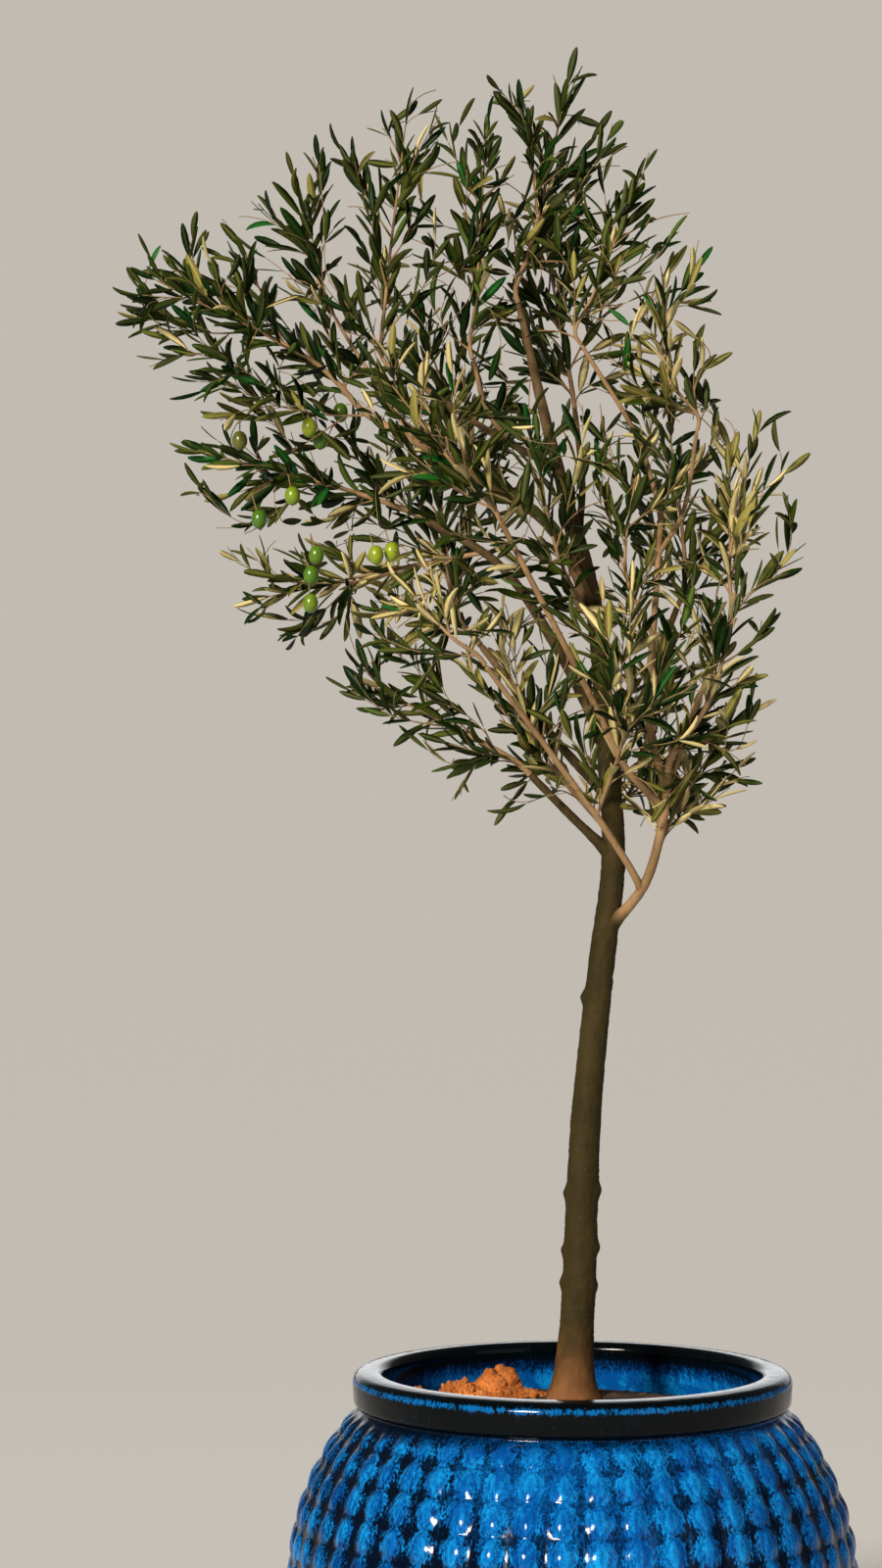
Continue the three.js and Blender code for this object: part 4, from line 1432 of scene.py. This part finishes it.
def twig_curves(name, twigs):
    """The twigs' lines as one curve object, whose radii are theirs."""
    curve = bpy.data.curves.new(name, "CURVE")
    curve.dimensions = "3D"
    for twig in twigs:
        count = max(3, int(twig.line.length / 9))
        points = twig.line.even(count)
        spline = curve.splines.new("POLY")
        spline.points.add(count)
        for i, (spot, place) in enumerate(zip(spline.points, points)):
            spot.co = (*(place * MM), 1.0)
            spot.radius = twig.radius(i / count) * MM
    return new_object(name, curve)


def twig_tree():
    """Sweeps a round section along each line, as thick as the line's radius."""
    tree = Tree("Twigs", Sides="Int", Bark="Material")
    ring = tree.node(
        "GeometryNodeCurvePrimitiveCircle", {"mode": "RADIUS"},
        {"Resolution": tree.read("Sides"), "Radius": 1.0})
    girth = tree.named("radius")
    shape = tree.keep(tree.read("Geometry"), "girth", girth)
    shape = tree.node(
        "GeometryNodeCurveToMesh", None,
        {"Curve": shape, "Profile Curve": ring, "Scale": girth, "Fill Caps": True})
    shape = tree.node("GeometryNodeSetShadeSmooth", None, {"Geometry": shape})
    return tree.close(shape, (tree.read("Bark"), None))


# Colours of thin twigs, of patches on them and of the grain on all twigs
THIN_TWIG = (0.2, 0.15, 0.055)
TWIG_PATCH = (0.25, 0.14, 0.07)
TWIG_GRAIN = (0.11, 0.075, 0.035)


def twig_material(settings):
    """Pale green-brown at the thin ends, pinkish tan on thicker twigs."""
    material, tree = new_material("twig_bark")
    girth = attribute(tree, "girth")
    grain = cloudy(tree, 300, 3, 0.6, stretch=(1, 1, 0.4))
    patches = cloudy(tree, 30, 2, 0.5)
    colour = layered(
        THIN_TWIG, (patches.between(0.4, 0.62), TWIG_PATCH),
        (girth.between(0.0008, 0.0018), settings.young_bark),
        (grain.between(0.5, 0.75) * 0.4, TWIG_GRAIN))
    return finish_material(
        material, Base_Color=colour, Roughness=0.55, Specular_IOR_Level=0.25,
        Normal=bump(grain, 0.3, 0.0005))


class OLIVE_OT_twigs(bpy.types.Operator):
    """Grow the twigs of each mass of foliage"""

    bl_idname = "olive.twigs"
    bl_label = "Twigs"

    def execute(self, context):
        twigs, _leaves, _fruit = crown_of(context)
        bark = twig_material(context.scene.olive_bark)
        group = twig_tree()
        for mass, own in zip(MASSES, twigs):
            lines = twig_curves(f"{mass.name}_lines", own)
            made = grow(lines, group, f"twigs_{mass.name}", Sides=TWIG_SIDES, Bark=bark)
            dress(made, "foliage", f"foliage_{mass.name}")
        return {"FINISHED"}


# Leaves


def leaf_shape(name, bend, fold, curl):
    """A thin closed leaf of length 1 along +Y: widest past its middle, folded on its midrib."""
    stations = (0.09, 0.24, 0.44, 0.66, 0.86, 0.965)
    widths = (0.3, 0.7, 0.97, 1.0, 0.7, 0.34)
    half, thick = 0.5, 0.012
    vertices = [(0, 0, 0)]
    for along, width in zip(stations, widths):
        sag = -bend * along * along
        lift = fold * width
        sway = curl * math.sin(along * math.pi)
        vertices += [
            (sway - half * width, along, sag + lift), (sway, along, sag + thick),
            (sway + half * width, along, sag + lift), (sway, along, sag - thick)]
    vertices.append((0, 1, -bend))
    tip = len(vertices) - 1
    sides, last = 4, len(stations) - 1
    faces, below = [], []
    for k in range(sides):
        low, after = 1 + k, 1 + (k + 1) % sides
        faces.append((0, after, low))
        for step in range(0, sides * last, sides):
            faces.append((low + step, after + step, after + step + sides, low + step + sides))
        faces.append((low + sides * last, after + sides * last, tip))
        below += [k > 1] * (last + 2)
    made = mesh_object(name, vertices, faces)
    store(made.data, "margin", [0, *([1, 0] * 2 * len(stations)), 0])
    store(made.data, "under", below, domain="FACE")
    return made


def leaf_tree():
    """Sets a leaf on each point, by its turn, its size and the one of the patterns it has."""
    inputs = {"Patterns": "Collection", "Upper": "Material", "Under": "Material"}
    tree = Tree("Leaves", Width="Float", **inputs)
    patterns = tree.node(
        "GeometryNodeCollectionInfo", None,
        {"Collection": tree.read("Patterns"), "Separate Children": True, "Reset Children": True})
    turn = tree.node("FunctionNodeEulerToRotation", None, {0: tree.named("turn", "FLOAT_VECTOR")})
    size = tree.named("size")
    scale = tree.node(
        "ShaderNodeCombineXYZ", None, {0: size * tree.read("Width"), 1: size, 2: size})
    leaves = tree.node(
        "GeometryNodeInstanceOnPoints", None,
        {"Points": tree.read("Geometry"), "Instance": patterns, "Pick Instance": True,
         "Instance Index": tree.named("pattern", "INT"), "Rotation": turn, "Scale": scale})
    below = tree.named("under").above(0.75)
    return tree.close(leaves, (tree.read("Upper"), None), (tree.read("Under"), below))


def leaf_material(name, light, dark, gloss):
    """A leaf's skin with a paler midrib, lighter or darker than its neighbour's."""
    material, tree = new_material(name)
    shade = attribute(tree, "shade")
    mottle = cloudy(tree, 130, 3, 0.6)
    share = (shade * 0.8 + mottle * 0.4 - 0.1).between(0.0, 1.0)
    midrib = 1 - attribute(tree, "margin").between(0.03, 0.2)
    pale = tuple(1.5 * part + 0.01 for part in light)
    colour = layered(dark, (share, light), (midrib * 0.5, pale))
    return finish_material(
        material, Base_Color=colour, Roughness=gloss + 0.15 * mottle, Specular_IOR_Level=0.12,
        Normal=bump(mottle, 0.15, 0.0006))


# Kinds of leaf: upper light and dark, underside light and dark. The golden kind is painted
# sunlight on leaves; the other kinds are darkened in part as painted shade
LEAF_COLOURS = {
    "deep": (
        (0.008, 0.03, 0.002), (0.002, 0.009, 0.001), (0.038, 0.054, 0.008), (0.012, 0.021, 0.002)),
    "olive": (
        (0.031, 0.051, 0.003), (0.008, 0.016, 0.001), (0.088, 0.103, 0.015), (0.032, 0.041, 0.004)),
    "grey": (
        (0.021, 0.035, 0.005), (0.005, 0.012, 0.001), (0.07, 0.086, 0.021), (0.027, 0.035, 0.006)),
    "golden": (
        (0.27, 0.235, 0.06), (0.075, 0.075, 0.012), (0.64, 0.53, 0.25), (0.32, 0.265, 0.1)),
    "fresh": (
        (0.012, 0.1, 0.012), (0.004, 0.036, 0.004), (0.08, 0.13, 0.02), (0.035, 0.065, 0.008)),
}
# Patterns of leaf: bend, fold and curl, as shares of its length
LEAF_PATTERNS = [
    (0.04, 0.05, 0.0), (0.1, 0.03, 0.12), (-0.06, 0.08, -0.12), (0.2, 0.1, 0.05),
    (0.0, 0.02, -0.05),
]


def leaf_points(name, leaves, kind):
    """The kind's leaves as points, with the turn, size, pattern and shade of each."""
    own = [leaf for leaf in leaves.all if leaf.kind == kind]
    chance = random.Random(len(own))
    made = mesh_object(name, [leaf.place * MM for leaf in own], [], smooth=False)
    store(made.data, "turn", [tuple(leaf.turn) for leaf in own], "FLOAT_VECTOR")
    store(made.data, "size", [leaf.size * MM for leaf in own])
    store(made.data, "shade", [chance.random() for _ in own])
    store(made.data, "pattern", [chance.randrange(len(LEAF_PATTERNS)) for _ in own], "INT")
    return made


def leaf_patterns():
    """A leaf of each pattern, in a collection of their own."""
    patterns = bpy.data.collections.new("leaf_patterns")
    for i, pattern in enumerate(LEAF_PATTERNS):
        made = leaf_shape(f"leaf_pattern_{i}", *pattern)
        bpy.context.scene.collection.objects.unlink(made)
        patterns.objects.link(made)
    return patterns


class OLIVE_OT_leaves(bpy.types.Operator):
    """Set the leaves along the twigs, one piece for each kind"""

    bl_idname = "olive.leaves"
    bl_label = "Leaves"

    def execute(self, context):
        _twigs, leaves, _fruit = crown_of(context)
        settings = context.scene.olive_foliage
        patterns = leaf_patterns()
        group = leaf_tree()
        width = settings.leaf_width / settings.leaf_length
        for kind, (light, dark, under_light, under_dark) in LEAF_COLOURS.items():
            upper = leaf_material(f"leaf_{kind}_upper", light, dark, 0.36)
            under = leaf_material(f"leaf_{kind}_under", under_light, under_dark, 0.6)
            made = grow(
                leaf_points(f"{kind}_points", leaves, kind), group, f"leaves_{kind}", Width=width,
                Patterns=patterns, Upper=upper, Under=under)
            dress(made, "foliage")
        for shape in list(patterns.objects):
            bpy.data.objects.remove(shape)
        bpy.data.collections.remove(patterns)
        return {"FINISHED"}


# Olives


def olive_shape(name, fruit, length, width):
    """A fruit with a small tip at its lower end."""
    sides, rings = OLIVE_GRID
    vertices = [fruit.centre + Vector((0, 0, -length / 2 - 0.6))]
    for ring in range(1, rings + 1):
        turn = math.pi * ring / (rings + 1)
        radius = width / 2 * math.sin(turn) ** 0.92
        height = -length / 2 * math.cos(turn)
        for cosine, sine in ring_turns(sides):
            vertices.append(fruit.centre + Vector((radius * cosine, radius * sine, height)))
    vertices.append(fruit.centre + Vector((0, 0, length / 2 - 0.5)))
    made = mesh_object(name, [v * MM for v in vertices], tube_faces(sides, rings))
    store(made.data, "ripe", [fruit.ripe] * len(vertices))
    return made


def stalk_of(fruit):
    """The stalk from the twig's end to the fruit's middle."""
    top = Vector(fruit.top)
    points = [top, fruit.centre.lerp(top, 0.6), fruit.centre]
    return Twig(points, STALK_RADIUS, STALK_RADIUS, 0, 0)


# Colours of an olive: yellower where it is painted as lit, painted light, brownish where it has ripened,
# and of its specks
YELLOWING_AND_LIGHT = (0.24, 0.31, 0.01)
RIPE = (0.09, 0.1, 0.01)
OLIVE_SPECK = (0.36, 0.42, 0.1)


def olive_material(settings):
    """Waxy green skin with pale specks, painted yellower as lit, painted light, and brownish where fully
    ripened.
    """
    material, tree = new_material("olive_skin")
    patches = cloudy(tree, 55, 2, 0.5)
    specks = speck_distance(tree, 520)
    ripe = attribute(tree, "ripe")
    colour = layered(
        settings.green,
        # Painted light: olives that stand lit are painted yellower
        ((ripe + 0.5 * (patches - 0.5)).between(0.1, 0.8), YELLOWING_AND_LIGHT),
        (ripe.between(0.9, 1.0), RIPE),
        ((1 - specks.between(0.1, 0.22)) * 0.4, OLIVE_SPECK))
    return finish_material(
        material, Base_Color=colour, Roughness=0.28, Normal=bump(patches, 0.06, 0.0006),
        Coat_Weight=0.15, Coat_Roughness=0.15)


class OLIVE_OT_olives(bpy.types.Operator):
    """Hang the olives on their stalks"""

    bl_idname = "olive.olives"
    bl_label = "Olives"

    def execute(self, context):
        _twigs, _leaves, fruit = crown_of(context)
        settings = context.scene.olive_fruit
        green = olive_material(settings)
        length, width = settings.length / MM, settings.width / MM
        for i, one in enumerate(fruit):
            made = olive_shape(f"olive_{i + 1}", one, length, width)
            dress(made, "foliage", material=green)
        lines = twig_curves("stalk_lines", [stalk_of(one) for one in fruit])
        bark = twig_material(context.scene.olive_bark)
        made = grow(lines, twig_tree(), "olive_stalks", Sides=TWIG_SIDES, Bark=bark)
        dress(made, "foliage")
        return {"FINISHED"}


# Stage


# The picture is 1600 pixels tall, and the lens's focal length is given in its pixels
IMAGE_HEIGHT = 1600
FOCAL_PIXELS = 4015
SENSOR = 36.0
CAMERA_PLACE = (-0.160, -4.8, 1.254)
FLOOR_REACH = 30.0
SQUARE = ((-1, -1), (1, -1), (1, 1), (-1, 1))
BACKDROP = (0.54, 0.497, 0.445)
SKY = (0.98, 0.99, 1.0)


def add_light(name, kind, place, goal, energy, colour, **settings):
    lamp = bpy.data.lights.new(name, kind)
    lamp.energy = energy
    lamp.color = colour
    for key, value in settings.items():
        setattr(lamp, key, value)
    made = new_object(name, lamp)
    made.location = place
    made.rotation_euler = (Vector(goal) - Vector(place)).to_track_quat("-Z", "Y").to_euler()


def studio_world(light):
    """An even soft light from all round, in front of a backdrop as pale as the floor."""
    world = bpy.data.worlds.new("studio")
    world.use_nodes = True
    tree = world.node_tree
    seen = add_node(tree, "ShaderNodeBackground", None, {0: opaque(BACKDROP), 1: 1.0})
    lit = add_node(tree, "ShaderNodeBackground", None, {0: opaque(SKY), 1: light})
    straight = add_node(tree, "ShaderNodeLightPath")
    both = add_node(tree, "ShaderNodeMixShader", None, {0: straight, 1: lit, 2: seen})
    fill_sockets(tree, tree.nodes["World Output"].inputs, {0: both})
    return world


def add_camera():
    lens = bpy.data.cameras.new("camera")
    lens.sensor_width = SENSOR
    lens.lens = SENSOR * FOCAL_PIXELS / IMAGE_HEIGHT
    made = new_object("camera", lens)
    made.location = CAMERA_PLACE
    made.rotation_euler = (math.radians(90), 0, 0)
    bpy.context.scene.camera = made


class OLIVE_OT_stage(bpy.types.Operator):
    """Set up the floor, the lights and the camera"""

    bl_idname = "olive.stage"
    bl_label = "Stage"

    def execute(self, context):
        settings = context.scene.olive_stage
        corners = [(x * FLOOR_REACH, y * FLOOR_REACH, 0) for x, y in SQUARE]
        floor = mesh_object("floor", corners, [(0, 1, 2, 3)], smooth=False)
        material, _tree = new_material("plain_floor")
        finish_material(material, Base_Color=opaque(settings.floor), Roughness=0.9)
        floor.data.materials.append(material)
        context.scene.world = studio_world(settings.soft)
        add_light(
            "key", "SUN", place=(-2.2, -4.2, 3.4), goal=(0, 0, 1.5), energy=settings.key,
            colour=(1.0, 0.91, 0.76), angle=0.2)
        add_light(
            "fill", "AREA", place=(3.0, -3.0, 1.8), goal=(0, 0, 1.1), energy=10,
            colour=(0.92, 0.96, 1.0), size=2.5)
        add_light(
            "back", "AREA", place=(-0.2, 5.0, 1.8), goal=(-0.2, 0, 1.75), energy=14,
            colour=(0.96, 0.98, 1.0), shape="RECTANGLE", size=8.0, size_y=2.0,
            spread=math.radians(70))
        context.scene.view_settings.view_transform = "Standard"
        add_camera()
        return {"FINISHED"}


class OLIVE_PT_panel(bpy.types.Panel):
    """Lists the steps that build the tree"""

    bl_label = "Olive tree"
    bl_idname = "OLIVE_PT_panel"
    bl_space_type = "VIEW_3D"
    bl_region_type = "UI"
    bl_category = "Olive tree"

    def draw(self, context):
        for step in STEPS:
            self.layout.operator(step.bl_idname)
        for key, group in SETTINGS.items():
            box = self.layout.box()
            for name in group.__annotations__:
                box.prop(getattr(context.scene, key), name)


SETTINGS = {
    "olive_pot": PotSettings,
    "olive_soil": SoilSettings,
    "olive_bark": BarkSettings,
    "olive_foliage": FoliageSettings,
    "olive_fruit": OliveSettings,
    "olive_stage": StageSettings,
}
STEPS = (
    OLIVE_OT_pot,
    OLIVE_OT_soil,
    OLIVE_OT_limbs,
    OLIVE_OT_twigs,
    OLIVE_OT_leaves,
    OLIVE_OT_olives,
    OLIVE_OT_stage,
)


def register():
    for part in (*SETTINGS.values(), *STEPS, OLIVE_PT_panel):
        bpy.utils.register_class(part)
    for key, group in SETTINGS.items():
        setattr(bpy.types.Scene, key, PointerProperty(type=group))


def unregister():
    for key in SETTINGS:
        delattr(bpy.types.Scene, key)
    for part in reversed((*SETTINGS.values(), *STEPS, OLIVE_PT_panel)):
        bpy.utils.unregister_class(part)


def main():
    register()
    for step in STEPS:
        group, name = step.bl_idname.split(".")
        getattr(getattr(bpy.ops, group), name)()


if __name__ == "__main__":
    main()
